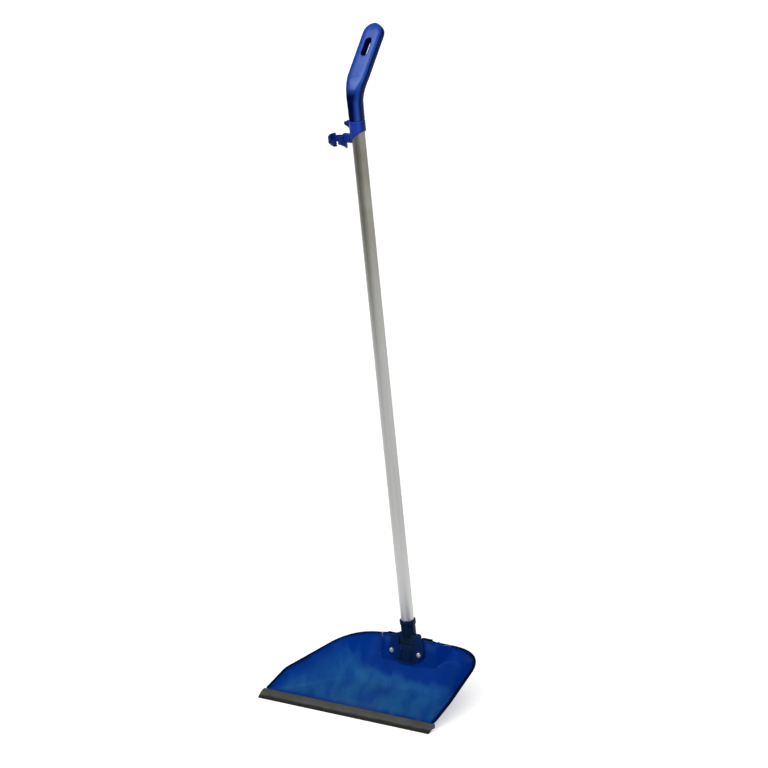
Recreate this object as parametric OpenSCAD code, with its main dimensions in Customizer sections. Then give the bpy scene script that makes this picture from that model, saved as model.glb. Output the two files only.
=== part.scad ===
/* [Pan] */
// width of the front lip
pan_w = 300; // [260:1:340]
// depth from the lip edge to the rear rim
pan_d = 195; // [180:1:220]
// height of the rear rim
rim_h = 68; // [60:0.5:74]
// height of the floor's upper face
floor_h = 9; // [8.5:0.1:11]
// thickness of the moulding
wall_t = 2.5; // [2:0.1:3]
// distance of the side kink behind the lip edge
kink_d = 60; // [52:1:72]
// height of the side kink
kink_h = 32; // [28:0.5:37]
// inset of each side at the kink
kink_in = 3.2; // [2:0.1:8]
// inset of each side at the rear corners
rear_in = 36.3; // [30:0.1:44]
// floor inset of each side at the kink
crease_kink_in = 26; // [22:1:32]
// floor inset of each side at the rear
crease_in = 54; // [48:1:60]
// distance from the rear rim to the floor crease
crease_back = 57; // [54:1:62]
// bend radius between floor and walls
bend_r = 30; // [20:1:34]
// run of the rounding along each side of a rear corner
corner_run = 56; // [42:1:60]
// width of the flat rim
rim_w = 4; // [3:0.5:5]
// thickness of the flat rim
rim_t = 3; // [2:0.5:4]
// width of each runner below the floor
runner_w = 3; // [2:0.5:5]

/* [Tower] */
// width of the mounting tower on the rear wall
tower_w = 98; // [90:1:110]
// distance from the rear rim to the tower's front face
tower_back = 32; // [30:1:36]
// rise of the tower above the rear rim
tower_up = 11.5; // [10:0.5:14]
// thickness of the tower plates
tower_t = 3; // [2.5:0.1:4]
// half width of the notch for the hinge
notch_x = 21.5; // [20.5:0.1:22]
// outward turn of the tower's side plates
side_turn = 26; // [10:1:32]

/* [Lip] */
// depth of the rubber lip
lip_d = 17; // [16.5:0.1:19]
// height of the lip's upper edge
lip_h = 10.9; // [10.7:0.1:12.5]
// thickness of the front edge of the lip
lip_edge = 1.4; // [1:0.1:2]

/* [Bracket] */
// half width of the bracket
bracket_x = 30; // [30:0.5:36]
// thickness of the bracket plate
bracket_t = 5.5; // [5:0.1:7]
// half spacing of the two screws
screw_x = 24; // [24:0.5:26]
// depth of the screws below the tower's top
screw_down = 23.5; // [22:0.5:26]
// thickness of each ear
ear_t = 5.5; // [5:0.1:6]
// radius of the ears around the pin
ear_r = 8.5; // [8:0.1:9]
// radius of the hinge pin
pin_r = 3; // [2.5:0.1:3.2]

/* [Handle] */
// forward lean of the handle at rest
lean = 9.4; // [6:0.1:12]
// outer diameter of the tube
tube_od = 19; // [18:0.1:19.6]
// wall of the tube
tube_t = 1; // [0.8:0.1:1.4]
// length of the tube
tube_len = 791; // [650:1:900]
// half width of the socket knuckle
knuckle_x = 11; // [10:0.1:12]
// outer radius of the socket sleeve
sleeve_r = 10.7; // [10.6:0.1:11.2]
// outer radius of the socket collar
collar_r = 11.8; // [11.5:0.1:12.4]
// height of the collar's upper face above the pin
collar_top = 31; // [29:0.1:36]

/* [Grip] */
// bend of the grip against the tube
grip_bend = 42; // [20:1:50]
// radius of the bend's centre line
grip_bend_r = 50; // [40:1:60]
// length of the straight upper grip
grip_len = 81.5; // [74:1:100]
// half width of the upper grip
grip_x = 14.8; // [13:0.1:16.5]
// half thickness of the upper grip
grip_y = 6.4; // [5.4:0.1:8.4]
// length of the hanging slot
slot_len = 27; // [20:1:32]
// width of the hanging slot
slot_w = 9.5; // [8:0.1:11]

/* [Clip] */
// distance from the tube axis to the jaw axis
jaw_off = 36; // [34:0.5:42]
// inner radius of the jaw
jaw_r = 10; // [9:0.1:11]
// thickness of the jaw wall
jaw_t = 2.6; // [2:0.1:3.2]
// height of the fingers
finger_h = 20; // [16:0.5:24]
// half angle of the jaw's mouth
mouth = 46; // [38:1:52]

/* [Hidden] */
$fn = 64;
blue = [0.03, 0.16, 0.55];
navy = [0.03, 0.07, 0.16];
steel = [0.75, 0.76, 0.78];
alu = [0.66, 0.66, 0.65];
grey = [0.24, 0.23, 0.22];

half_w = pan_w / 2;
loft_y = lip_d + 0.2;
rear_y = pan_d;
crease_y = pan_d - crease_back;
crease_x = half_w - crease_in;
tower_y = pan_d - tower_back;
tower_top = rim_h + tower_up;
corner_drop = 1.5;
wall_slope = (rim_h - floor_h) / (crease_back - rim_w);
screw_z = tower_top - screw_down;
screw_r = 2;
screw_gap = 0.2;
head_r = 4.2;
head_h = 2.8;
washer_t = 0.8;
nut_h = 3.2;
nut_r = 4.04;
tongue_in = 9;
lip_end = 4;
ear_foot = 18;
ear_step = 12;
bracket_foot = 15;
bracket_y = tower_y - bracket_t;
pin_y = tower_y + 3.5;
pin_drop = 4.5;
pin_z = tower_top - pin_drop;
pin_gap = 0.05;
ear_gap = 0.3;
ear_in = knuckle_x + ear_gap;
ear_out = ear_in + ear_t;
sink_r = 4.8;
sink_d = 1.7;
knuckle_r = 8;
stop_gap = 0.3;
stop_z = pin_z - knuckle_r - stop_gap;
toe_y = bracket_y - pin_y + 0.6;
tube_r = tube_od / 2;
tube_fit = 0.05;
tube_in = tube_r - tube_t;
seat_a = 13.2;
plug_rim = 1.5;
tube_a = seat_a + plug_rim;
tube_top = tube_a + tube_len;
plug_len = 22;
plug_r = tube_in - tube_fit;
clip_gap = 0.4;
grip_over = 24;
grip_a = tube_top - grip_over;
clip_top = grip_a - clip_gap;
clip_wall = 2;
clip_run = 0.06;
clip_in = tube_r + clip_run;
clip_out = clip_in + clip_wall;
clip_front_h = 30;
clip_rear_h = 14;
hook_x = 20;
hook_half = 3;
finger_mid = clip_top - 33.2;
web_h = 9.5;
web_mid = finger_mid + 1.6;
arm_h = 12.5;
arm_mid = finger_mid + 6.5;
neck_r = tube_r + 1.2;
grip_steps = 8;
tap_r = 1.6;
tap_head_r = 3.2;
tap_head_h = 1.8;
tap_a = 4.5;

// the ground frame has its origin below the middle of the pan
module from_lip() {
    translate([0, -pan_d / 2, 0]) children();
}

// the handle frame has its origin on the pin and its Z along the tube
module on_handle() {
    from_lip() translate([0, pin_y, pin_z]) rotate([lean, 0, 0]) children();
}

// a profile drawn in depth and height, run across the width from x0 to x1
module across(x0, x1) {
    translate([x0, 0, 0]) rotate([90, 0, 90]) linear_extrude(x1 - x0) children();
}

// a profile drawn in width and height, run back from y0 to y1
module backward(y0, y1) {
    translate([0, y1, 0]) rotate([90, 0, 0]) linear_extrude(y1 - y0) children();
}

function mix(a, b, t) = a + (b - a) * t;
function bez(a, b, c, t) = mix(mix(a, b, t), mix(b, c, t), t);
function toward(a, b, d) = a + (b - a) * d / norm(b - a);

// outer rim line and floor crease line of the right half, from front to rear
rim0 = [half_w - 2, loft_y, floor_h + 3.6];
rim1 = [half_w - kink_in, kink_d, kink_h];
rim2 = [half_w - rear_in, rear_y, rim_h - corner_drop];
rim3 = [0, rear_y, rim_h];
crease0 = [half_w - 7, loft_y, floor_h];
crease1 = [half_w - crease_kink_in, kink_d, floor_h];
crease2 = [crease_x, crease_y, floor_h];
crease3 = [0, crease_y, floor_h];
crease_run = corner_run * 0.66;
rimA = toward(rim2, rim1, corner_run);
rimB = toward(rim2, rim3, corner_run);
creaseA = toward(crease2, crease1, crease_run);
creaseB = toward(crease2, crease3, crease_run);

half_line = concat(
    [for (i = [0:2]) [mix(rim0, rim1, i / 3), mix(crease0, crease1, i / 3)]],
    [for (i = [0:2]) [mix(rim1, rimA, i / 3), mix(crease1, creaseA, i / 3)]],
    [for (i = [0:8]) [bez(rimA, rim2, rimB, i / 8), bez(creaseA, crease2, creaseB, i / 8)]],
    [for (i = [1:2]) [mix(rimB, rim3, i / 2), mix(creaseB, crease3, i / 2)]]);
half_n = len(half_line);
function flip(p) = [-p[0], p[1], p[2]];
line = concat(half_line,
    [for (i = [2:half_n]) [flip(half_line[half_n - i][0]), flip(half_line[half_n - i][1])]]);
line_n = len(line);

// section through floor edge, bend, wall and rim at one place of the line
bend_n = 5;
ring_n = 2 * bend_n + 6;
function section(rim, crease) =
    let (
        flat = [rim[0] - crease[0], rim[1] - crease[1]],
        reach = norm(flat),
        e = flat / reach,
        run = reach - rim_w,
        rise = rim[2] - floor_h,
        slope = atan2(rise, run),
        tang = min(bend_r * tan(slope / 2), 0.45 * norm([run, rise])),
        r = tang / tan(slope / 2),
        lip_t = min(rim_t, rise * 0.5),
        back = (wall_t * cos(slope) - lip_t) / sin(slope),
        inner = [for (k = [0:bend_n]) let (a = slope * k / bend_n) [r * sin(a) - tang, r - r * cos(a)]],
        outer = [for (k = [0:bend_n]) let (a = slope * (bend_n - k) / bend_n, q = r + wall_t)
            [q * sin(a) - tang, r - q * cos(a)]],
        top = [[run, rise], [reach, rise], [reach, rise - lip_t],
            [run + wall_t * sin(slope) + back * cos(slope), rise - lip_t]]
    )
    [for (p = concat(inner, top, outer))
        [crease[0] + e[0] * p[0], crease[1] + e[1] * p[0], floor_h + p[1]]];

module pan_shell() {
    pts = [for (s = line) each section(s[0], s[1])];
    last = line_n - 1;
    function at(i, k) = i * ring_n + k;
    walls = [for (i = [0:last - 1], k = [0:ring_n - 2]) each [
        [at(i, k), at(i + 1, k), at(i + 1, k + 1)],
        [at(i, k), at(i + 1, k + 1), at(i, k + 1)]]];
    top_face = [[for (i = [last:-1:0]) at(i, 0)]];
    low_face = [[for (i = [0:last]) at(i, ring_n - 1)]];
    steps = [for (k = [0:bend_n + 1]) [k, k + 1, ring_n - 2 - k, ring_n - 1 - k]];
    cap0 = [for (q = steps) each [[at(0, q[0]), at(0, q[1]), at(0, q[2])],
        [at(0, q[0]), at(0, q[2]), at(0, q[3])]]];
    cap1 = [for (q = steps) each [[at(last, q[1]), at(last, q[0]), at(last, q[2])],
        [at(last, q[2]), at(last, q[0]), at(last, q[3])]]];
    front = [[at(last, 0), at(0, 0), at(0, ring_n - 1), at(last, ring_n - 1)]];
    polyhedron(pts, concat(walls, top_face, low_face, cap0, cap1, front), convexity = 6);
}

module tower_plate() {
    backward(tower_y, tower_y + tower_t) difference() {
        polygon([[-tower_w / 2 + 4, floor_h + (tower_y - crease_y) * wall_slope - 0.3],
            [tower_w / 2 - 4, floor_h + (tower_y - crease_y) * wall_slope - 0.3],
            [tower_w / 2, screw_z], [tower_w / 2, tower_top - 5], [tower_w / 2 - 5, tower_top],
            [-tower_w / 2 + 5, tower_top], [-tower_w / 2, tower_top - 5], [-tower_w / 2, screw_z]]);
        translate([-notch_x, pin_z - 13]) square([2 * notch_x, 40]);
        for (s = [-1, 1]) translate([s * screw_x, screw_z]) circle(screw_r + screw_gap);
    }
}

module tower_sides() {
    low = floor_h + (tower_y - crease_y) * wall_slope;
    c = cos(side_turn);
    run = (tower_back - rim_w) / c;
    for (s = [0, 1]) mirror([s, 0, 0]) {
        translate([tower_w / 2 - 0.1, tower_y + 0.1, 0]) rotate([0, 0, -side_turn])
            across(-tower_t, 0) polygon([[0, low + 2], [0, tower_top - 5.2], [4 / c, tower_top - 5.6],
                [run, rim_h - 0.4], [run, rim_h - rim_t + 0.4], [4 / c, low + 3]]);
        translate([notch_x, tower_y + tower_t - 1, tower_top - 2.6])
            cube([tower_w / 2 - 5.5 - notch_x, 4, 2.5]);
    }
}

module runners() {
    top = floor_h - wall_t + 0.6;
    end_y = crease_y - bend_r * 0.4 - 4;
    for (s = [-1, 1], x = [crease_x * 0.3, crease_x * 0.86])
        translate([s * x - runner_w / 2, loft_y + 5, 0]) cube([runner_w, end_y - loft_y - 5, top]);
    translate([-crease_x * 0.86, end_y - runner_w, 0]) cube([crease_x * 1.72, runner_w, top]);
}

module pan() {
    color(blue) from_lip() union() {
        pan_shell();
        tower_plate();
        tower_sides();
        runners();
        translate([-half_w + tongue_in, lip_d - 5.6, floor_h - wall_t + 0.2])
            cube([pan_w - 2 * tongue_in, 10, wall_t - 0.4]);
    }
}

module rubber_lip() {
    slot_low = floor_h - wall_t + 0.1;
    slot_top = floor_h - 0.1;
    color(grey) from_lip() difference() {
        across(-half_w, half_w) polygon([[0, 0], [3, 0], [lip_d - 7, slot_low - 2.2],
            [lip_d, slot_low - 2.2], [lip_d, lip_h - 0.5], [lip_d - 0.5, lip_h],
            [lip_d - 4.6, lip_h], [lip_d - 9.6, floor_h - 0.7], [0, lip_edge]]);
        translate([lip_end - half_w, lip_d - 6, slot_low])
            cube([pan_w - 2 * lip_end, 10, slot_top - slot_low]);
    }
}

module ear_profile() {
    translate([pin_y, pin_z]) circle(ear_r);
    polygon([[bracket_y + 1, pin_z - ear_foot], [bracket_y + 1, pin_z + ear_r - 4],
        [bracket_y + 5, pin_z + ear_r], [pin_y, pin_z + ear_r], [pin_y + ear_r, pin_z],
        [pin_y + ear_r - 2.5, pin_z - 6], [tower_y - 0.1, pin_z - ear_step],
        [tower_y - 0.1, pin_z - ear_foot]]);
}

module pan_bracket() {
    color(navy) from_lip() difference() {
        union() {
            backward(bracket_y, tower_y) difference() {
                union() for (s = [0, 1]) mirror([s, 0]) polygon([[-1, screw_z - bracket_foot],
                    [bracket_x - 17, screw_z - bracket_foot], [bracket_x - 4, screw_z - 8],
                    [bracket_x, screw_z - 3], [bracket_x, screw_z + 6], [bracket_x - 3.5, tower_top - 2],
                    [ear_out + 1, tower_top + 3.5], [-1, tower_top + 3.5]]);
                translate([-ear_in, stop_z]) square([2 * ear_in, 40]);
            }
            for (s = [0, 1]) mirror([s, 0, 0]) across(ear_in, ear_out) ear_profile();
            for (s = [-1, 1]) translate([s * screw_x, bracket_y + 0.5, screw_z]) rotate([90, 0, 0])
                cylinder(r = head_r + 1.6, h = 1.7);
        }
        translate([-60, pin_y, pin_z]) rotate([0, 90, 0]) cylinder(r = pin_r + pin_gap, h = 120);
        for (s = [0, 1]) mirror([s, 0, 0]) translate([ear_out - sink_d, pin_y, pin_z])
            rotate([0, 90, 0]) cylinder(r = sink_r, h = 30);
        for (s = [-1, 1]) translate([s * screw_x, tower_y + 1, screw_z]) rotate([90, 0, 0])
            cylinder(r = screw_r + screw_gap, h = 30);
    }
}

seat_y = bracket_y - 1.2;
module bracket_screws() {
    color(steel) from_lip() for (s = [-1, 1]) translate([s * screw_x, seat_y, screw_z])
        rotate([90, 0, 0]) difference() {
            rotate_extrude() polygon([[0, -tower_y - tower_t + seat_y - washer_t - nut_h - 2],
                [screw_r - 0.5, -tower_y - tower_t + seat_y - washer_t - nut_h - 2],
                [screw_r, -tower_y - tower_t + seat_y - washer_t - nut_h - 1.5],
                [screw_r, 0], [head_r, 0], [head_r, 0.9], [head_r - 0.6, 1.9],
                [head_r - 1.7, head_h - 0.2], [1.4, head_h], [0, head_h]]);
            for (t = [0, 90]) rotate([0, 0, t]) translate([-2.1, -0.5, head_h - 1.3]) cube([4.2, 1, 3]);
        }
}

module bracket_washers() {
    color(steel) from_lip() for (s = [-1, 1])
        translate([s * screw_x, tower_y + tower_t + washer_t, screw_z]) rotate([90, 0, 0])
            difference() {
                cylinder(r = 4.6, h = washer_t);
                translate([0, 0, -1]) cylinder(r = screw_r + 0.15, h = 4);
            }
}

module bracket_nuts() {
    color(steel) from_lip() for (s = [-1, 1])
        translate([s * screw_x, tower_y + tower_t + washer_t + nut_h, screw_z]) rotate([90, 0, 0])
            difference() {
                intersection() {
                    cylinder(r = nut_r, h = nut_h, $fn = 6);
                    rotate_extrude() polygon([[0, 0], [nut_r - 0.6, 0], [nut_r, 0.4],
                        [nut_r, nut_h], [0, nut_h]]);
                }
                translate([0, 0, -1]) cylinder(r = screw_r + 0.05, h = 8);
            }
}

module hinge_pin() {
    color(steel) from_lip() translate([0, pin_y, pin_z]) rotate([0, 90, 0]) rotate_extrude()
        polygon([[0, -ear_out + 0.2], [pin_r - 0.5, -ear_out + 0.2], [pin_r, -ear_out + 0.7],
            [pin_r, ear_out - sink_d], [sink_r - 0.4, ear_out - sink_d],
            [sink_r - 0.4, ear_out - 0.8], [sink_r - 1.2, ear_out - 0.2], [0, ear_out - 0.2]]);
}

module pin_ring() {
    color(steel) from_lip() translate([-ear_out + sink_d - 0.8, pin_y, pin_z]) rotate([0, 90, 0])
        difference() {
            cylinder(r = sink_r - 0.3, h = 0.8);
            translate([0, 0, -1]) cylinder(r = pin_r + 0.02, h = 4);
        }
}

module handle_socket() {
    color(navy) on_handle() difference() {
        union() {
            rotate([-lean, 0, 0]) across(-knuckle_x, knuckle_x) {
                circle(knuckle_r);
                polygon([[toe_y, -knuckle_r], [0.5, 1.1 - knuckle_r], [0.5, knuckle_r - 0.6],
                    [toe_y, knuckle_r - 0.6]]);
            }
            rotate_extrude() polygon([[0, pin_r + 1.5], [sleeve_r, pin_r + 1.5],
                [sleeve_r, collar_top - 8.4], [collar_r, collar_top - 6.4],
                [collar_r, collar_top - 0.7], [collar_r - 0.7, collar_top], [0, collar_top]]);
        }
        translate([0, 0, seat_a]) cylinder(r = tube_r + tube_fit, h = 60);
        translate([-40, 0, 0]) rotate([0, 90, 0]) cylinder(r = pin_r + pin_gap, h = 80);
        translate([0, 0, tube_a + tap_a]) rotate([-90, 0, 0]) cylinder(r = tap_r + 0.1, h = 40);
    }
}

module handle_tube() {
    color(alu) on_handle() difference() {
        translate([0, 0, tube_a]) cylinder(r = tube_r, h = tube_len);
        translate([0, 0, tube_a - 1]) cylinder(r = tube_in, h = tube_len + 2);
        for (a = [tube_a + tap_a, tube_top - 10]) translate([0, 0, a]) rotate([-90, 0, 0])
            cylinder(r = tap_r + 0.1, h = 40);
    }
}

module plug_body() {
    difference() {
        rotate_extrude() polygon([[0, 0], [tube_r - 0.1, 0], [tube_r - 0.1, plug_rim],
            [plug_r, plug_rim], [plug_r, plug_len - 1], [plug_r - 1, plug_len], [0, plug_len]]);
        translate([0, 0, plug_rim + tap_a]) rotate([-90, 0, 0]) cylinder(r = tap_r + 0.02, h = 40);
    }
}

module tube_foot_plug() {
    color(navy) on_handle() translate([0, 0, seat_a]) plug_body();
}

module tube_head_plug() {
    color(navy) on_handle() translate([0, 0, tube_top]) difference() {
        rotate_extrude() polygon([[0, 0], [plug_r, 0], [plug_r, -plug_len + 1], [plug_r - 1, -plug_len],
            [0, -plug_len]]);
        translate([0, 0, -10]) rotate([-90, 0, 0]) cylinder(r = tap_r + 0.02, h = 40);
    }
}

// small screw pointing to the tube axis, its head seated at the given radius
module tap_screw(seat) {
    rotate([-90, 0, 0]) difference() {
        rotate_extrude() polygon([[0, seat - 8], [tap_r - 0.6, seat - 8], [tap_r, seat - 6.5],
            [tap_r, seat], [tap_head_r, seat], [tap_head_r, seat + 0.6],
            [tap_head_r - 1, seat + tap_head_h - 0.2], [0, seat + tap_head_h]]);
        for (t = [0, 90]) rotate([0, 0, t]) translate([-1.5, -0.4, seat + tap_head_h - 0.9])
            cube([3, 0.8, 3]);
    }
}

module socket_screw() {
    color(steel) on_handle() translate([0, 0, tube_a + tap_a]) tap_screw(sleeve_r + 0.02);
}

module grip_screw() {
    color(steel) on_handle() translate([0, 0, tube_top - 10]) tap_screw(grip_seat);
}

// grip: rounded sections along a straight neck, a bend and a straight upper part
bend_a = grip_over + 1;
grip_n = 32;
grip_seat = neck_r - 0.5;
function soft(c, p) = (c < 0 ? -1 : 1) * pow(abs(c), p);
function oval(w, t, p) = [for (i = [0:grip_n - 1]) let (a = 360 * i / grip_n)
    [w * soft(cos(a), p), t * soft(sin(a), p)]];
function grip_section(y, z, tilt, w, t, p) = [for (q = oval(w, t, p))
    [q[0], y + q[1] * cos(tilt), z - q[1] * sin(tilt)]];
neck_list = [for (i = [0:3]) let (f = i / 4)
    [0, bend_a * f, 0, mix(neck_r, neck_r + 0.2, f), mix(neck_r, neck_r - 0.2, f), mix(1, 0.9, f)]];
bend_list = [for (i = [0:grip_steps]) let (f = i / grip_steps, a = grip_bend * f)
    [grip_bend_r * (1 - cos(a)), bend_a + grip_bend_r * sin(a), a, mix(neck_r + 0.2, grip_x, f),
        mix(neck_r - 0.2, grip_y, f), mix(0.9, 0.5, f)]];
end_y = grip_bend_r * (1 - cos(grip_bend));
end_z = bend_a + grip_bend_r * sin(grip_bend);
tip_from = grip_len - grip_x;
upper_d = concat([for (i = [1:3]) tip_from * i / 3],
    [for (a = [15, 30, 45, 58, 70, 79, 85]) tip_from + grip_x * sin(a)]);
function tip_w(d) = d <= tip_from ? 1 : sqrt(max(0, 1 - pow((d - tip_from) / grip_x, 2)));
upper_list = [for (d = upper_d)
    [end_y + d * sin(grip_bend), end_z + d * cos(grip_bend), grip_bend, grip_x * tip_w(d),
        grip_y * mix(0.72, 1, tip_w(d)), 0.5]];
grip_list = concat(neck_list, bend_list, upper_list);

module grip_body() {
    n = len(grip_list);
    pts = [for (s = grip_list) each grip_section(s[0], s[1], s[2], s[3], s[4], s[5])];
    function at(i, k) = i * grip_n + (k % grip_n);
    skin = [for (i = [0:n - 2], k = [0:grip_n - 1]) each [
        [at(i, k), at(i + 1, k), at(i + 1, k + 1)],
        [at(i, k), at(i + 1, k + 1), at(i, k + 1)]]];
    low = [[for (k = [0:grip_n - 1]) at(0, k)]];
    top = [[for (k = [grip_n - 1:-1:0]) at(n - 1, k)]];
    polyhedron(pts, concat(skin, low, top), convexity = 4);
}

slot_mid = 43.5;
module grip() {
    color(blue) on_handle() translate([0, 0, grip_a]) difference() {
        grip_body();
        translate([0, 0, -1]) cylinder(r = tube_r + tube_fit, h = grip_over + 1.2);
        translate([0, end_y, end_z]) rotate([-grip_bend, 0, 0]) translate([0, 30, slot_mid])
            rotate([90, 0, 0]) linear_extrude(60) {
                for (s = [-1, 1]) translate([0, s * (slot_len - slot_w) / 2]) circle(slot_w / 2);
                translate([-slot_w / 2, -(slot_len - slot_w) / 2]) square([slot_w, slot_len - slot_w]);
            }
        translate([0, 0, grip_over - 10]) rotate([-90, 0, 0]) cylinder(r = tap_r + 0.1, h = 40);
        translate([0, grip_seat, grip_over - 10]) rotate([-90, 0, 0])
            cylinder(r = tap_head_r + 0.3, h = 20);
    }
}

module arc(r0, r1, h, from, to) {
    rotate([0, 0, from]) rotate_extrude(angle = to - from) translate([r0, 0]) square([r1 - r0, h]);
}

// open jaw: two full-height fingers joined at the back by a lower web
module jaw() {
    low = web_mid - finger_mid - web_h / 2;
    difference() {
        translate([0, 0, -finger_h / 2]) arc(jaw_r, jaw_r + jaw_t, finger_h, -90 + mouth, 270 - mouth);
        translate([0, 0, low - 30]) arc(jaw_r - 2, jaw_r + jaw_t + 2, 30, 40, 140);
        translate([0, 0, low + web_h]) arc(jaw_r - 2, jaw_r + jaw_t + 2, 30, 40, 140);
    }
    for (s = [0, 1]) mirror([s, 0, 0]) rotate([0, 0, mouth - 92])
        translate([jaw_r + jaw_t / 2 + 0.7, 0, 0.6 - finger_h / 2])
            cylinder(r = jaw_t / 2 + 0.5, h = finger_h - 1.2);
}

module broom_clip() {
    color(blue) on_handle() difference() {
        union() {
            difference() {
                translate([0, 0, clip_top - clip_front_h - 4]) cylinder(r = clip_out, h = clip_front_h + 4);
                translate([-clip_out, 0, clip_top - clip_front_h])
                    rotate([0, -atan((clip_front_h - clip_rear_h) / (2 * clip_out)), 0])
                        translate([-jaw_off, -jaw_off, -2 * jaw_off]) cube(2 * jaw_off);
            }
            translate([-jaw_off, 0, finger_mid]) jaw();
            translate([-jaw_off + jaw_r + 0.4, -hook_half, arm_mid - arm_h / 2])
                cube([jaw_off - jaw_r - clip_in - 0.6, 2 * hook_half, arm_h]);
            translate([0, hook_half, clip_top]) rotate([90, 0, 0]) linear_extrude(2 * hook_half)
                polygon([[-clip_in - 0.6, -1], [1 - hook_x, -3], [-hook_x, -5.4], [1.8 - hook_x, -7],
                    [5.5 - hook_x, -8.4], [-clip_in - 0.6, -13]]);
        }
        translate([0, 0, clip_top - 2 * clip_front_h]) cylinder(r = clip_in, h = 3 * clip_front_h);
    }
}

pan();
rubber_lip();
pan_bracket();
bracket_screws();
bracket_washers();
bracket_nuts();
hinge_pin();
pin_ring();
handle_socket();
handle_tube();
tube_foot_plug();
socket_screw();
tube_head_plug();
grip();
grip_screw();
broom_clip();
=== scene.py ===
from math import acos, atan2, copysign, cos, degrees, hypot, pi, radians, sin, sqrt, tan

import bmesh
import bpy
import numpy as np
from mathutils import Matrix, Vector


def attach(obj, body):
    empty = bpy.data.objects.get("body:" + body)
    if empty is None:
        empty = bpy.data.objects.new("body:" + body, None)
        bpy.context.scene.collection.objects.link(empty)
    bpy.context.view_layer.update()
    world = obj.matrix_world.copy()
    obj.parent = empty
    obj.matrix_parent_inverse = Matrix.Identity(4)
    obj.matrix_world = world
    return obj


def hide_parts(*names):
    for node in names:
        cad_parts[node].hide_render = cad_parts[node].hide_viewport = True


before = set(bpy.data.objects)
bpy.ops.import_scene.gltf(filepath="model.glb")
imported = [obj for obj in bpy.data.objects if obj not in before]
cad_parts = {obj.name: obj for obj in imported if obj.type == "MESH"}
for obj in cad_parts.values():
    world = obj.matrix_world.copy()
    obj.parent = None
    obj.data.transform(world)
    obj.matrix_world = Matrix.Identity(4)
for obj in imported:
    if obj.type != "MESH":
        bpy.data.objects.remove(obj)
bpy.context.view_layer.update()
scene = bpy.context.scene
scene.view_settings.view_transform = "Standard"
mm = 0.001
print("frame loaded:", len(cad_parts), "nodes")


# small mesh helpers, all lengths in millimetres

hinge = {"y": 166.5, "z": 75.0, "lean": 9.4, "lipToMiddle": 97.5}


def fromLip(points):
    return [(x, y - hinge["lipToMiddle"], z) for x, y, z in points]


def onHandle(points):
    a = radians(hinge["lean"])
    c, s = cos(a), sin(a)
    return fromLip([(x, y * c - z * s + hinge["y"], y * s + z * c + hinge["z"]) for x, y, z in points])


def meshObject(name, points, faces):
    mesh = bpy.data.meshes.new(name)
    mesh.from_pydata([(x * mm, y * mm, z * mm) for x, y, z in points], [], faces)
    obj = bpy.data.objects.new(name, mesh)
    scene.collection.objects.link(obj)
    bm = bmesh.new()
    bm.from_mesh(mesh)
    bmesh.ops.remove_doubles(bm, verts=bm.verts, dist=1e-7)
    bmesh.ops.dissolve_degenerate(bm, edges=bm.edges, dist=1e-8)
    bmesh.ops.delete(bm, geom=[e for e in bm.edges if not e.link_faces], context="EDGES")
    bmesh.ops.recalc_face_normals(bm, faces=bm.faces)
    bm.to_mesh(mesh)
    bm.free()
    return splitFaces(obj)


def splitFaces(obj):
    # faces with many corners become triangles, so that later cuts can't fold them
    bm = bmesh.new()
    bm.from_mesh(obj.data)
    bmesh.ops.triangulate(bm, faces=[f for f in bm.faces if len(f.verts) > 4])
    bm.to_mesh(obj.data)
    bm.free()
    return obj


def roundedPath(corners, steps):
    # corners are (u, v, radius) in order round a closed outline
    path = []
    count = len(corners)
    for i, (u, v, radius) in enumerate(corners):
        here = np.array((u, v), float)
        if radius <= 0:
            path.append(here)
            continue
        a = np.array(corners[i - 1][:2], float) - here
        b = np.array(corners[(i + 1) % count][:2], float) - here
        la, lb = np.linalg.norm(a), np.linalg.norm(b)
        a, b = a / la, b / lb
        half = acos(max(-1, min(1, float(a @ b)))) / 2
        if half > 1.5:                                    # as good as straight
            path.extend([here] * (steps + 1))
            continue
        cut = min(radius / tan(half), 0.48 * la, 0.48 * lb)      # less than half of a side
        r = cut * tan(half)
        centre = here + (a + b) / np.linalg.norm(a + b) * r / sin(half)
        p, q = here + a * cut - centre, here + b * cut - centre
        start = atan2(p[1], p[0])
        sweep = (atan2(q[1], q[0]) - start + pi) % (2 * pi) - pi
        for k in range(steps + 1):
            t = start + sweep * k / steps
            path.append(centre + r * np.array((cos(t), sin(t))))
    return path


def insetPath(path, depth):
    p = np.array(path, float)
    keep = np.linalg.norm(p - np.roll(p, 1, 0), axis=1) > 1e-6
    e1 = p - np.roll(p, 1, 0)
    e2 = np.roll(p, -1, 0) - p
    e1[~keep] = e2[~keep]
    e1 /= np.maximum(np.linalg.norm(e1, axis=1, keepdims=True), 1e-9)
    e2 /= np.maximum(np.linalg.norm(e2, axis=1, keepdims=True), 1e-9)
    n1 = np.stack((-e1[:, 1], e1[:, 0]), 1)
    n2 = np.stack((-e2[:, 1], e2[:, 0]), 1)
    m = n1 + n2
    m /= np.maximum(np.linalg.norm(m, axis=1, keepdims=True), 1e-9)
    square = np.maximum((m * n1).sum(1, keepdims=True), 0.35)         # a sharp corner doesn't run off
    return p + m * (depth / square)


def box(u0, v0, u1, v1, radii=(0, 0, 0, 0)):
    # corners of an upright oblong, from the first corner along u
    return [(u0, v0, radii[0]), (u1, v0, radii[1]), (u1, v1, radii[2]), (u0, v1, radii[3])]


def skin(rings, closedRing=True, caps=True):
    # faces between equal rings of points, with the first and last ring closed
    n = len(rings[0])
    faces = []
    for i in range(len(rings) - 1):
        for k in range(n if closedRing else n - 1):
            k2 = (k + 1) % n
            faces.append((i * n + k, i * n + k2, (i + 1) * n + k2, (i + 1) * n + k))
    if caps:
        faces.append(tuple(range(n))[::-1])
        faces.append(tuple((len(rings) - 1) * n + k for k in range(n)))
    return faces


def placed(rings, place):
    # all points of the rings, moved to where the piece sits
    return [p for ring in rings for p in place(ring)]


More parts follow.
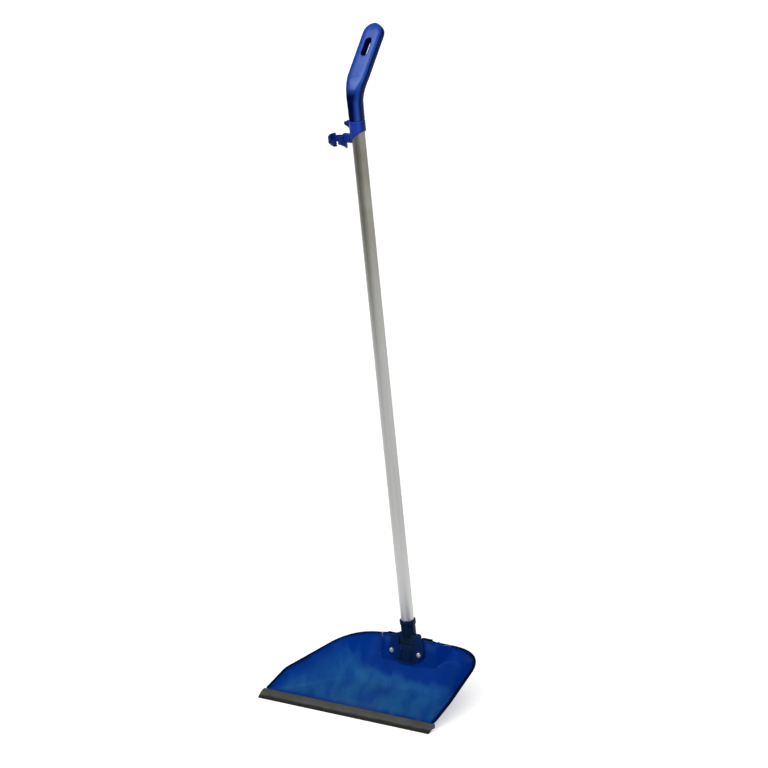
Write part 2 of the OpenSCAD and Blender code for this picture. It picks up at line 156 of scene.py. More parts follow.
def plate(name, corners, near, far, edge, along, place=fromLip, steps=5):
    # an outline with rounded corners, extruded along an axis with rounded edges
    path = roundedPath(corners, steps)
    turns = [pi / 2 * k / 4 for k in range(5)]
    levels = [(edge * (1 - sin(a)), near + edge * (1 - cos(a))) for a in turns]
    levels += [(edge * (1 - sin(a)), far - edge * (1 - cos(a))) for a in turns[::-1]]
    rings = []
    for inset, depth in levels:
        ring = insetPath(path, inset)
        rings.append([{"x": (depth, u, v), "y": (u, depth, v), "z": (u, v, depth)}[along] for u, v in ring])
    return meshObject(name, placed(rings, place), skin(rings))


def lathe(name, corners, segments, place=onHandle, axis="z", centre=(0, 0, 0), arc=None):
    # (radius, height, rounding) outline turned about an axis, all round or over an arc in degrees
    path = roundedPath(corners, 4)
    whole = arc is None
    start, end = (0, 360) if whole else arc
    count = segments if whole else max(3, int(segments * (end - start) / 360))
    rings = []
    for i in range(count if whole else count + 1):
        a = radians(start + (end - start) * i / count)
        ring = []
        for r, h in path:
            u, v = r * cos(a), r * sin(a)
            p = {"z": (u, v, h), "y": (u, h, v), "x": (h, u, v)}[axis]
            ring.append((p[0] + centre[0], p[1] + centre[1], p[2] + centre[2]))
        rings.append(ring)
    points = placed(rings, place)
    faces = skin(rings)
    if whole:
        faces = [tuple(k % len(points) for k in f) for f in skin(rings + [rings[0]], caps=False)]
    return meshObject(name, points, faces)


def settle(obj):
    # modifiers become the plain mesh
    graph = bpy.context.evaluated_depsgraph_get()
    mesh = bpy.data.meshes.new_from_object(obj.evaluated_get(graph))
    obj.modifiers.clear()
    obj.data = mesh
    return obj


def combine(base, others, operation="UNION"):
    for other in others:
        step = base.modifiers.new("combine", "BOOLEAN")
        step.operation = operation
        step.solver = "MANIFOLD"
        step.object = other
        splitFaces(settle(base))
        bpy.data.objects.remove(other)
    return base


def smooth(obj, angle):
    # soft shading with the real edges kept, and flat faces kept flat
    obj.data.shade_smooth()
    obj.data.set_sharp_from_angle(angle=radians(angle))
    weight = obj.modifiers.new("weight", "WEIGHTED_NORMAL")
    weight.keep_sharp = True
    weight.weight = 80
    return settle(obj)


def markEdges(obj):
    # point value that is high on small outward roundings, where plastic and plating wear first
    bm = bmesh.new()
    bm.from_mesh(obj.data)
    layer = bm.verts.layers.float.new("edgeWear")
    least, spread = 11, 14                                 # degrees between the faces at an edge
    for edge in bm.edges:
        if len(edge.link_faces) == 2 and edge.is_convex:
            angle = degrees(edge.calc_face_angle(0))
            if angle > least:
                value = min(1, (angle - least) / spread)
                for vert in edge.verts:
                    vert[layer] = max(vert[layer], value)
    bm.to_mesh(obj.data)
    bm.free()


def pointRows(obj, normals=False):
    # the points' places, or their normals, one row each
    rows = np.zeros(len(obj.data.vertices) * 3)
    source, field = (obj.data.vertex_normals, "vector") if normals else (obj.data.vertices, "co")
    source.foreach_get(field, rows)
    return rows.reshape(-1, 3)


def fade(values, low, high):
    # 0 up to low, 1 from high on, straight between
    return np.clip((values - low) / (high - low), 0, 1)


def markPoints(obj, name, values):
    obj.data.attributes.new(name, "FLOAT", "POINT").data.foreach_set("value", values)


def finishPiece(obj, material, body, slotName, *nodes):
    markEdges(obj)
    obj.data.materials.clear()
    obj.data.materials.append(material)
    obj.data.polygons.foreach_set("material_index", [0] * len(obj.data.polygons))
    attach(obj, body)
    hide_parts(*nodes)


# shader groups that several finishes share

def newGroup(name, inputs, outputs):
    group = bpy.data.node_groups.new(name, "ShaderNodeTree")
    for label, value in inputs:
        socket = group.interface.new_socket(label, in_out="INPUT", socket_type="NodeSocketFloat")
        socket.default_value = value
    for label in outputs:
        group.interface.new_socket(label, in_out="OUTPUT", socket_type="NodeSocketFloat")
    return group, group.nodes.new("NodeGroupInput"), group.nodes.new("NodeGroupOutput")


class Wires:
    # shorthand for adding nodes and wires to one tree
    def __init__(self, tree):
        self.tree = tree

    def add(self, kind, **settings):
        node = self.tree.nodes.new("ShaderNode" + kind)
        for key, value in settings.items():
            setattr(node, key, value)
        return node

    def link(self, source, target):
        self.tree.links.new(source, target)

    def put(self, target, value):
        if isinstance(value, bpy.types.NodeSocket):
            self.link(value, target)
        else:
            target.default_value = value

    def feed(self, node, **values):
        # sockets by name, with a line for each blank
        for key, value in values.items():
            self.put(node.inputs[key.replace("_", " ")], value)
        return node

    def math(self, operation, a, b, clamp=False):
        node = self.add("Math", operation=operation, use_clamp=clamp)
        self.put(node.inputs[0], a)
        self.put(node.inputs[1], b)
        return node.outputs[0]

    def times(self, a, b, clamp=False):
        return self.math("MULTIPLY", a, b, clamp)

    def plus(self, a, b, clamp=False):
        return self.math("ADD", a, b, clamp)

    def minus(self, a, b):
        return self.math("SUBTRACT", a, b)

    def most(self, a, b):
        return self.math("MAXIMUM", a, b)

    def place(self):
        return self.add("TexCoord").outputs["Object"]

    def mark(self, name):
        return self.add("Attribute", attribute_name=name).outputs["Fac"]

    def split(self, vector):
        node = self.add("SeparateXYZ")
        self.link(vector, node.inputs[0])
        return node.outputs

    def noise(self, vector, scale, detail, roughness=0.55):
        node = self.feed(self.add("TexNoise"), Vector=vector, Scale=scale, Detail=detail, Roughness=roughness)
        return node.outputs["Fac"]

    def mapping(self, vector, scale=(1, 1, 1), turn=(0, 0, 0), move=(0, 0, 0)):
        turn = [radians(a) for a in turn]
        node = self.feed(self.add("Mapping"), Vector=vector, Scale=scale, Rotation=turn, Location=move)
        return node.outputs["Vector"]

    def ramp(self, value, low, high):
        node = self.add("MapRange", interpolation_type="SMOOTHSTEP")
        return self.feed(node, Value=value, From_Min=low, From_Max=high).outputs["Result"]

    def mix(self, factor, a, b):
        return self.feed(self.add("Mix", data_type="RGBA"), Factor=factor, A=a, B=b).outputs["Result"]

    def group(self, group, **values):
        return self.feed(self.add("Group", node_tree=group), **values)

    def mask(self, group, **values):
        return self.group(group, **values).outputs["Mask"]


def scuffGroup():
    # fine scratches in three directions, thinned out by a broad noise
    group, enter, leave = newGroup("useScuffs", [("Scale", 1.0), ("Amount", 0.5)], ["Mask"])
    w = Wires(group)
    x, y, z = w.split(w.place())
    unrolled = w.plus(y, w.times(z, 0.8))                 # depth plus height, beside the width
    place = w.feed(w.add("CombineXYZ"), X=x, Y=unrolled).outputs[0]
    total = None                                          # turn in degrees, length to width, threshold
    for turn, stretch, cut in ((84, 26, 0.665), (101, 34, 0.675), (152, 30, 0.68)):
        spread = w.mapping(place, (9, 9 * stretch, 1), (0, 0, turn), (turn * 0.13, 0.4, 0))
        scaled = w.feed(w.add("VectorMath", operation="SCALE"), Vector=spread, Scale=enter.outputs["Scale"])
        line = w.ramp(w.noise(scaled.outputs["Vector"], 1.0, 2.0, 0.5), cut, cut + 0.05)
        total = line if total is None else w.most(total, line)
    patch = w.ramp(w.noise(place, 22.0, 2.0), 0.38, 0.66)
    w.feed(leave, Mask=w.times(w.times(total, patch), enter.outputs["Amount"], True))
    return group


def grainGroup():
    # skin of a moulded or extruded surface: fine grain on a faint ripple
    group, enter, leave = newGroup("surfaceGrain", [("Grain Scale", 900.0), ("Ripple Scale", 30.0)],
                                   ["Height", "Tone"])
    w = Wires(group)
    place = w.place()
    fine = w.noise(place, enter.outputs["Grain Scale"], 2.0, 0.6)
    broad = w.noise(place, enter.outputs["Ripple Scale"], 2.0, 0.45)
    w.feed(leave, Height=w.plus(w.times(fine, 0.22), broad), Tone=broad)
    return group


settled = {"turn": -32.0, "stretch": (2.4, 0.5, 1), "cloudFrom": 0.34, "cloudTo": 0.68, "speckScale": 640.0,
           "speckFrom": 0.62, "speckTo": 0.72, "speckShare": 0.2, "ragged": 0.008, "slant": 0.05, "softEdge": 0.006,
           "cornerFrom": -0.068, "cornerTo": -0.108, "cornerRagged": 0.012, "cornerThin": 0.35,
           "slopeFrom": 0.2, "slopeTo": 0.4, "flatFrom": 0.8, "flatTo": 0.97, "thinnest": 0.42}


def dustGroup():
    # pale film of dust on what faces up and, below the film height, on slopes; streaked along the sweep, with specks
    s = settled
    group, enter, leave = newGroup("settledDust", [("Amount", 0.3), ("Cloud Scale", 16.0), ("Film Height", -1.0),
                                                   ("Film Rise", 0.0)], ["Mask"])
    w = Wires(group)
    coords = w.add("TexCoord")
    place = coords.outputs["Object"]
    x, _, z = w.split(place)
    up = w.split(coords.outputs["Normal"])[2]
    swept = w.mapping(w.mapping(place, turn=(0, 0, s["turn"])), s["stretch"])
    cloud = w.ramp(w.noise(swept, enter.outputs["Cloud Scale"], 3.0, 0.5), s["cloudFrom"], s["cloudTo"])
    speck = w.ramp(w.noise(place, s["speckScale"], 2.0, 0.5), s["speckFrom"], s["speckTo"])
    level = w.minus(z, enter.outputs["Film Height"])
    level = w.plus(level, w.times(w.minus(cloud, 0.5), s["ragged"]))
    corner = w.ramp(w.plus(x, w.times(cloud, s["cornerRagged"])), s["cornerFrom"], s["cornerTo"])
    level = w.minus(level, w.times(corner, enter.outputs["Film Rise"]))
    level = w.plus(level, w.times(x, s["slant"]))         # more of it towards one corner
    film = w.times(w.ramp(level, s["softEdge"], -s["softEdge"]), w.ramp(up, s["slopeFrom"], s["slopeTo"]))
    film = w.times(film, w.minus(1.0, w.times(corner, s["cornerThin"])))
    laid = w.most(film, w.ramp(up, s["flatFrom"], s["flatTo"]))
    laid = w.times(laid, w.plus(s["thinnest"], w.times(cloud, 1 - s["thinnest"])))
    laid = w.plus(laid, w.times(w.times(laid, speck), s["speckShare"]))
    w.feed(leave, Mask=w.times(laid, enter.outputs["Amount"], True))
    return group


def edgeGroup():
    # rubbed edges, broken up so that they don't look drawn
    group, enter, leave = newGroup("rubbedEdges", [("Amount", 0.5), ("Break Scale", 120.0)], ["Mask"])
    w = Wires(group)
    gaps = w.ramp(w.noise(w.place(), enter.outputs["Break Scale"], 3.0, 0.6), 0.36, 0.64)
    w.feed(leave, Mask=w.times(w.times(w.mark("edgeWear"), gaps), enter.outputs["Amount"], True))
    return group


def streakGroup():
    # drawing lines along the tube, in the tube's own lean
    group, enter, leave = newGroup("drawnStreaks", [("Line Scale", 1.0)], ["Height", "Tone"])
    w = Wires(group)
    along = w.mapping(w.place(), turn=(-hinge["lean"], 0, 0))
    fine = w.noise(w.mapping(along, (1500, 1500, 5)), enter.outputs["Line Scale"], 3.0, 0.6)
    broad = w.noise(w.mapping(along, (260, 260, 1.4)), enter.outputs["Line Scale"], 2.0, 0.5)
    w.feed(leave, Height=fine, Tone=w.plus(w.times(fine, 0.45), w.times(broad, 0.55)))
    return group


scuffs, grain, dust, edges, streaks = scuffGroup(), grainGroup(), dustGroup(), edgeGroup(), streakGroup()


def newMaterial(name, **sockets):
    material = bpy.data.materials.new(name)
    material.use_nodes = True
    w = Wires(material.node_tree)
    return material, w.feed(material.node_tree.nodes["Principled BSDF"], **sockets), w


def bump(w, shader, height, strength, distance):
    node = w.feed(w.add("Bump"), Height=height, Strength=strength, Distance=distance)
    w.link(node.outputs["Normal"], shader.inputs["Normal"])


wear = {"toneFrom": 0.3, "toneTo": 0.7, "scratchTone": 0.35, "scratchRough": 0.25, "scratchDepth": 0.12,
        "rubRough": 0.2}


def plasticFinish(name, look):
    material, shader, w = newMaterial(name, IOR=1.48, Specular_Tint=look["tint"])
    skinNode = w.group(grain, Grain_Scale=look["grainScale"], Ripple_Scale=look["rippleScale"])
    scratch = w.mask(scuffs, Scale=look["scuffScale"], Amount=look["scuffs"])
    film = {"Film_Height": look["film"], "Film_Rise": look["filmRise"]} if "film" in look else {}
    laid = w.mask(dust, Amount=look["dust"], Cloud_Scale=look["cloudScale"], **film)
    if film:
        laid = w.times(laid, w.minus(1.0, w.mark("cleanBand")))       # it thins out below the rim
    rubbed = w.mask(edges, Amount=look["rub"])
    tone = w.ramp(skinNode.outputs["Tone"], wear["toneFrom"], wear["toneTo"])
    colour = w.mix(tone, look["deep"], look["base"])
    colour = w.mix(w.times(scratch, wear["scratchTone"]), colour, look["worn"])
    colour = w.mix(rubbed, colour, look["worn"])
    # dust; on the pan floor it is partly dust, partly painted reflection haze
    colour = w.mix(laid, colour, look["dustAndSheenColour"])
    # rim tone: the pan's darker rim, painted shade on the grip and clip, painted light on the bracket's wings
    rimAndPaintedLightShare = w.mark("rimAndPaintedLight")
    rough = w.plus(look["roughness"], w.times(scratch, wear["scratchRough"]))
    rough = w.plus(rough, w.times(laid, look["dustRough"]))
    rough = w.plus(rough, w.times(rubbed, wear["rubRough"]), True)
    w.feed(shader, Base_Color=w.mix(rimAndPaintedLightShare, colour, look["rim"]), Roughness=rough,
           Specular_IOR_Level=w.times(w.minus(1.0, rimAndPaintedLightShare), look["specular"]))
    height = w.minus(skinNode.outputs["Height"], w.times(scratch, wear["scratchDepth"]))
    bump(w, shader, height, look["bump"], look["bumpDepth"])
    return material


panLook = {
    "base": (0.0003, 0.031, 0.25, 1), "deep": (0.0002, 0.027, 0.225, 1), "worn": (0.04, 0.15, 0.4, 1),
    # on the pan the pale dust colour is partly dust, partly painted reflection haze
    "rim": (0.0, 0.006, 0.035, 1), "dustAndSheenColour": (0.027, 0.175, 0.37, 1), "tint": (0.15, 0.5, 1, 1),
    "roughness": 0.13, "specular": 0.4, "grainScale": 1400.0, "rippleScale": 26.0, "scuffScale": 1.0,
    "scuffs": 0.3, "dust": 0.58, "dustRough": 0.1, "film": 0.0205, "filmRise": 0.034, "cloudScale": 22.0, "rub": 0.06,
    "bump": 0.08, "bumpDepth": 0.0005,
}
navyLook = {
    "base": (0.002, 0.011, 0.036, 1), "deep": (0.0015, 0.008, 0.028, 1), "worn": (0.03, 0.05, 0.1, 1),
    # rim: the lighter blue of the painted light on the bracket's wings
    "rim": (0.0015, 0.028, 0.18, 1), "dustAndSheenColour": (0.06, 0.08, 0.11, 1), "tint": (0.6, 0.8, 1, 1),
    "roughness": 0.36, "specular": 0.15, "grainScale": 1100.0, "rippleScale": 60.0, "scuffScale": 2.0, "scuffs": 0.3,
    "dust": 0.2, "dustRough": 0.4, "cloudScale": 60.0, "rub": 0.3, "bump": 0.5, "bumpDepth": 0.0004,
}
gripLook = {
    "base": (0.009, 0.062, 0.46, 1), "deep": (0.007, 0.052, 0.4, 1), "worn": (0.09, 0.18, 0.55, 1),
    # rim: the dark colour of the painted shade on the grip
    "rim": (0.001, 0.004, 0.05, 1), "dustAndSheenColour": (0.12, 0.2, 0.42, 1), "tint": (0.72, 0.97, 1, 1),
    "roughness": 0.24, "specular": 0.5, "grainScale": 1000.0, "rippleScale": 55.0, "scuffScale": 1.6, "scuffs": 0.25,
    "dust": 0.06, "dustRough": 0.4, "cloudScale": 40.0, "rub": 0.16, "bump": 0.4, "bumpDepth": 0.0005,
}
clipLook = {
    "base": (0.012, 0.056, 0.54, 1), "deep": (0.009, 0.046, 0.46, 1), "worn": (0.06, 0.12, 0.36, 1),
    # rim: the dark colour of the clip's painted shade and of its darker arm and jaw
    "rim": (0.001, 0.009, 0.06, 1), "dustAndSheenColour": (0.1, 0.16, 0.3, 1), "tint": (0.85, 0.95, 1, 1),
    "roughness": 0.28, "specular": 0.38, "grainScale": 1000.0, "rippleScale": 70.0, "scuffScale": 2.2, "scuffs": 0.25,
    "dust": 0.1, "dustRough": 0.4, "cloudScale": 60.0, "rub": 0.25, "bump": 0.4, "bumpDepth": 0.0004,
}
panPlastic = plasticFinish("panPlastic", panLook)
navyPlastic = plasticFinish("navyPlastic", navyLook)
gripPlastic = plasticFinish("gripPlastic", gripLook)
clipPlastic = plasticFinish("clipPlastic", clipLook)


def rubberFinish():
    look = {"base": (0.078, 0.08, 0.07, 1), "deep": (0.05, 0.051, 0.045, 1), "worn": (0.1, 0.094, 0.082, 1),
            "edgeShadeAndDirt": (0.005, 0.005, 0.005, 1), "edgeFrom": -0.0925, "edgeTo": -0.0955,
            "seamFrom": -0.0838, "seamTo": -0.0812, "seam": (0.012, 0.02, 0.034, 1), "lines": (3, 900, 900),
            "blotchScale": 34.0, "pitScale": 1300.0, "raggedScale": 70.0, "ragged": 0.003, "rub": 0.5, "rubBreak": 90.0,
            "dust": 0.4, "cloudScale": 30.0, "roughness": 0.46, "blotchRough": 0.16, "dustRough": 0.3, "pitDepth": 0.4,
            "bump": 0.5, "bumpDepth": 0.0003}
    material, shader, w = newMaterial("lipRubber", Specular_IOR_Level=0.35)
    place = w.place()
    y = w.split(place)[1]
    lines = w.noise(w.mapping(place, look["lines"]), 1.0, 2.0, 0.5)   # die lines along the strip
    blotch = w.ramp(w.noise(place, look["blotchScale"], 4.0, 0.6), 0.3, 0.7)
    pits = w.ramp(w.noise(place, look["pitScale"], 2.0, 0.5), 0.55, 0.75)
    uneven = w.times(w.minus(w.noise(place, look["raggedScale"], 3.0, 0.6), 0.5), look["ragged"])
    swept = w.ramp(w.plus(y, uneven), look["edgeFrom"], look["edgeTo"])      # painted shade and floor dirt on the front edge
    seam = w.ramp(y, look["seamFrom"], look["seamTo"])                       # dirt where the lip meets the pan
    rubbed = w.mask(edges, Amount=look["rub"], Break_Scale=look["rubBreak"])
    laid = w.mask(dust, Amount=look["dust"], Cloud_Scale=look["cloudScale"])
    colour = w.mix(blotch, look["deep"], look["base"])
    colour = w.mix(rubbed, colour, look["worn"])
    colour = w.mix(laid, colour, look["worn"])
    colour = w.mix(swept, colour, look["edgeShadeAndDirt"])
    rough = w.plus(look["roughness"], w.times(blotch, look["blotchRough"]))
    rough = w.plus(rough, w.times(laid, look["dustRough"]), True)
    w.feed(shader, Base_Color=w.mix(seam, colour, look["seam"]), Roughness=rough)
    bump(w, shader, w.minus(lines, w.times(pits, look["pitDepth"])), look["bump"], look["bumpDepth"])
    return material


def tubeFinish():
    look = {"base": (0.56, 0.56, 0.545, 1), "dull": (0.46, 0.46, 0.45, 1), "grimeAndShade": (0.25, 0.235, 0.17, 1),
            "bright": (0.6, 0.6, 0.59, 1), "paleBottom": (0.64, 0.64, 0.63, 1), "darkTopFrom": 0.46, "darkTopTo": 0.87,
            "cleanFrom": 0.3, "cleanTo": 0.12, "scuffScale": 1.4, "scuffs": 0.7, "grimeScale": 9.0, "grimeFrom": 0.1,
            "grimeTo": 0.6, "grimeAndShadeMost": 0.9, "roughness": 0.28, "drawnRough": 0.16, "grimeRough": 0.08,
            "bump": 0.25, "bumpDepth": 0.0002}
    material, shader, w = newMaterial("tubeAluminium", Metallic=1.0)
    place = w.place()
    drawn = w.group(streaks)
    scratch = w.mask(scuffs, Scale=look["scuffScale"], Amount=look["scuffs"])
    z = w.split(place)[2]
    patchy = w.ramp(w.noise(place, look["grimeScale"], 3.0, 0.6), look["grimeFrom"], look["grimeTo"])
    grimeAndShadeShare = w.times(w.ramp(z, look["darkTopFrom"], look["darkTopTo"]), patchy)   # hand grime and painted shade, darker towards the grip
    colour = w.mix(w.ramp(drawn.outputs["Tone"], 0.35, 0.65), look["dull"], look["base"])
    # painted light: the tube is paler towards its foot
    colour = w.mix(w.ramp(z, look["cleanFrom"], look["cleanTo"]), colour, look["paleBottom"])
    colour = w.mix(w.times(grimeAndShadeShare, look["grimeAndShadeMost"]), colour, look["grimeAndShade"])
    colour = w.mix(w.times(scratch, wear["scratchTone"]), colour, look["bright"])
    rough = w.plus(look["roughness"], w.times(drawn.outputs["Tone"], look["drawnRough"]))
    w.feed(shader, Base_Color=colour, Roughness=w.plus(rough, w.times(grimeAndShadeShare, look["grimeRough"]), True))
    bump(w, shader, drawn.outputs["Height"], look["bump"], look["bumpDepth"])
    return material


def platedFinish(name, base, dull, roughness):
    look = {"grainScale": 2600.0, "rippleScale": 420.0, "cloudScale": 520.0, "cloudFrom": 0.3, "cloudTo": 0.72,
            "cloudRough": 0.14, "rub": 0.6, "rubBreak": 700.0, "worn": (0.9, 0.9, 0.9, 1), "bump": 0.25,
            "bumpDepth": 0.0001}
    material, shader, w = newMaterial(name, Metallic=1.0)
    skinNode = w.group(grain, Grain_Scale=look["grainScale"], Ripple_Scale=look["rippleScale"])
    cloudy = w.ramp(w.noise(w.place(), look["cloudScale"], 3.0, 0.6), look["cloudFrom"], look["cloudTo"])
    rubbed = w.mask(edges, Amount=look["rub"], Break_Scale=look["rubBreak"])
    colour = w.mix(rubbed, w.mix(cloudy, base, dull), look["worn"])
    w.feed(shader, Base_Color=colour, Roughness=w.plus(roughness, w.times(cloudy, look["cloudRough"]), True))
    bump(w, shader, skinNode.outputs["Height"], look["bump"], look["bumpDepth"])
    return material


lipRubber = rubberFinish()
tubeAluminium = tubeFinish()
screwSteel = platedFinish("screwSteel", (0.9, 0.92, 0.96, 1), (0.76, 0.78, 0.82, 1), 0.32)
pinSteel = platedFinish("pinSteel", (0.6, 0.6, 0.61, 1), (0.46, 0.46, 0.47, 1), 0.3)
print("finishes ready")


# pan: floor, sloped walls and rim as one loft, with the tower, runners and tongue moulded on

pan = {
    "width": 300.0, "depth": 195.0, "rimHeight": 68.0, "floorHeight": 9.0, "wall": 2.5,
    "loftFrom": 17.2, "kinkDepth": 60.0, "kinkHeight": 32.0, "kinkInset": 3.2, "rearInset": 36.3,
    "creaseKinkInset": 26.0, "creaseInset": 54.0, "creaseBack": 57.0, "bendRadius": 30.0,
    "cornerRun": 56.0, "cornerDrop": 0.5, "creaseShare": 0.66, "kinkRun": 7.0, "rimWidth": 4.0,
    "rimThick": 3.0, "runnerWidth": 3.0, "innerRunner": 0.3, "outerRunner": 0.86, "tongueFrom": 11.6, "tongueTo": 21.4,
    "tongueInset": 9.0, "towerWidth": 98.0, "towerBack": 32.0, "towerUp": 11.5, "towerThick": 3.0,
    "towerCorner": 9.0, "towerEdge": 6.0, "sideTurn": 26.0, "notchHalf": 21.5, "notchFloor": 62.0,
    "rimDark": 4.2, "rimPlain": 5.8, "towerPlain": 4.5, "towerDark": 3.0, "cleanFrom": 9.0, "cleanTo": 25.0,
    "cleanMost": 0.95, "frontInset": 2.0, "frontRise": 3.6, "creaseFrontInset": 7.0, "rimRounds": (1.6, 1.2, 1.0, 0.9),
}


def blendPoints(a, b, t):
    return a + (b - a) * t


def bend(a, b, c, t):
    return blendPoints(blendPoints(a, b, t), blendPoints(b, c, t), t)


def toward(a, b, distance):
    return a + (b - a) * distance / np.linalg.norm(b - a)


def panLines():
    s = pan
    half = s["width"] / 2
    creaseY = s["depth"] - s["creaseBack"]
    rim = [np.array(p) for p in (
        (half - s["frontInset"], s["loftFrom"], s["floorHeight"] + s["frontRise"]),
        (half - s["kinkInset"], s["kinkDepth"], s["kinkHeight"]),
        (half - s["rearInset"], s["depth"], s["rimHeight"] - s["cornerDrop"]), (0.0, s["depth"], s["rimHeight"]))]
    crease = [np.array(p) for p in (
        (half - s["creaseFrontInset"], s["loftFrom"], s["floorHeight"]),
        (half - s["creaseKinkInset"], s["kinkDepth"], s["floorHeight"]),
        (half - s["creaseInset"], creaseY, s["floorHeight"]), (0.0, creaseY, s["floorHeight"]))]
    stops = []
    for line, run in ((rim, s["cornerRun"]), (crease, s["cornerRun"] * s["creaseShare"])):
        stops.append((toward(line[1], line[0], s["kinkRun"]), toward(line[1], line[2], s["kinkRun"]),
                      toward(line[2], line[1], run), toward(line[2], line[3], run)))
    stations = []
    for leg, count, steps in ((0, 8, 8), (1, 8, 8), (2, 8, 8), (3, 28, 28), (4, 7, 6)):
        for i in range(count):
            t = i / steps
            stations.append([(blendPoints(l[0], q[0], t), bend(q[0], l[1], q[1], t), blendPoints(q[1], q[2], t),
                              bend(q[2], l[2], q[3], t), blendPoints(q[3], l[3], t))[leg]
                             for l, q in zip((rim, crease), stops)])
    other = [[p * np.array((-1, 1, 1)) for p in pair] for pair in stations[-2::-1]]
    return stations + other


def panSection(rim, crease):
    # one cut through floor edge, bend, wall and rim, from the floor's top edge round to its underside
    s = pan
    flat = rim[:2] - crease[:2]
    reach = np.linalg.norm(flat)
    e = flat / reach
    run, rise = reach - s["rimWidth"], rim[2] - s["floorHeight"]
    slope = atan2(rise, run)
    tangent = min(s["bendRadius"] * tan(slope / 2), 0.45 * hypot(run, rise))
    r = tangent / tan(slope / 2)
    thick = min(s["rimThick"], rise * 0.5)
    back = (s["wall"] * cos(slope) - thick) / sin(slope)
    turns = [slope * k / 12 for k in range(13)]
    inner = [(r * sin(a) - tangent, r - r * cos(a)) for a in turns]
    q = r + s["wall"]
    outer = [(q * sin(a) - tangent, r - q * cos(a)) for a in turns[::-1]]
    under = (run + s["wall"] * sin(slope) + back * cos(slope), rise - thick)
    wallInner, wallOuter = [], []
    for share, most in ((0.45, 13.0), (0.7, 6.5)):        # rings below the rim, where its dark moulding ends
        for wallPoints, foot, head in ((wallInner, inner[-1], (run, rise)), (wallOuter, outer[0], under)):
            up = np.subtract(head, foot)
            length = np.linalg.norm(up)
            wallPoints.append(tuple(np.array(foot) + up * max(share, 1 - most / length)) + (0,))
    rimPoints = ((run, rise), (reach, rise), (reach, rise - thick), under)
    corners = [inner[-1] + (0,)] + wallInner + [p + (soft,) for p, soft in zip(rimPoints, s["rimRounds"])]
    corners += wallOuter[::-1] + [outer[0] + (0,)]
    section = inner[:-1] + [tuple(p) for p in roundedPath(corners, 4)] + outer[1:]
    return [(crease[0] + e[0] * u, crease[1] + e[1] * u, s["floorHeight"] + v) for u, v in section]


def panShell():
    rings = [panSection(rim, crease) for rim, crease in panLines()]
    n, last = len(rings[0]), len(rings) - 1
    faces = skin(rings, closedRing=False, caps=False)
    faces.append(tuple(i * n for i in range(last, -1, -1)))
    faces.append(tuple(i * n + n - 1 for i in range(last + 1)))
    faces.append(tuple(range(n)))
    faces.append(tuple(last * n + k for k in range(n - 1, -1, -1)))
    faces.append((last * n, 0, n - 1, last * n + n - 1))
    return meshObject("panShell", placed(rings, fromLip), faces)


def towerPieces():
    # block with rounded corners, trimmed to the wall's slope, hollowed from behind and notched for the hinge
    s = pan
    front, top = s["depth"] - s["towerBack"], s["rimHeight"] + s["towerUp"]
    creaseY, rear = s["depth"] - s["creaseBack"], s["depth"] - s["rimWidth"]
    slope = (s["rimHeight"] - s["floorHeight"]) / (s["creaseBack"] - s["rimWidth"])
    w, notch, thick = s["towerWidth"] / 2, s["notchHalf"], s["towerThick"]
    turn = tan(radians(s["sideTurn"]))

    def wall(y):
        return s["floorHeight"] + (y - creaseY) * slope

    def flared(points):
        return fromLip([(x * (1 + max(0, y - front) * turn / w), y, z) for x, y, z in points])

    low = wall(front) - 3
    face = box(-w, low, w, top, (0, 0, s["towerCorner"], s["towerCorner"]))
    tower = plate("tower", face, front, s["depth"] + 4, s["towerEdge"], "y", flared, 8)
    keep = [(front - 4, wall(front - 4) - 1.5, 0), (rear + 0.5, wall(rear) - 1.2, 0), (rear + 0.5, wall(rear) - 0.4, 0),
            (front + 9, top - 7, 7), (front + 5.5, top + 3, 0), (front - 4, top + 3, 0)]
    combine(tower, [plate("towerKeep", keep, -w - 30, w + 30, 0.01, "x")], "INTERSECT")
    pocket = box(thick - w, 0, w - thick, top + 9)
    gap = box(-notch, s["notchFloor"], notch, top + 9, (2.5, 2.5, 0, 0))
    combine(tower, [plate("towerPocket", pocket, front + thick, s["depth"] + 20, 0.01, "y", flared),
                    plate("towerGap", gap, front - 9, front + 12, 0.01, "y")], "DIFFERENCE")
    pieces = [tower]
    for sign in (-1, 1):
        x = sorted((sign * (notch + 0.3), sign * (w - s["towerCorner"] - 1)))
        flange = box(x[0], top - 2.8, x[1], top - 0.3, (0.6,) * 4)
        pieces.append(plate("towerFlange", flange, front + 2.6, front + 7, 0.5, "y"))
    return pieces


# copies of a template along a line, by geometry nodes

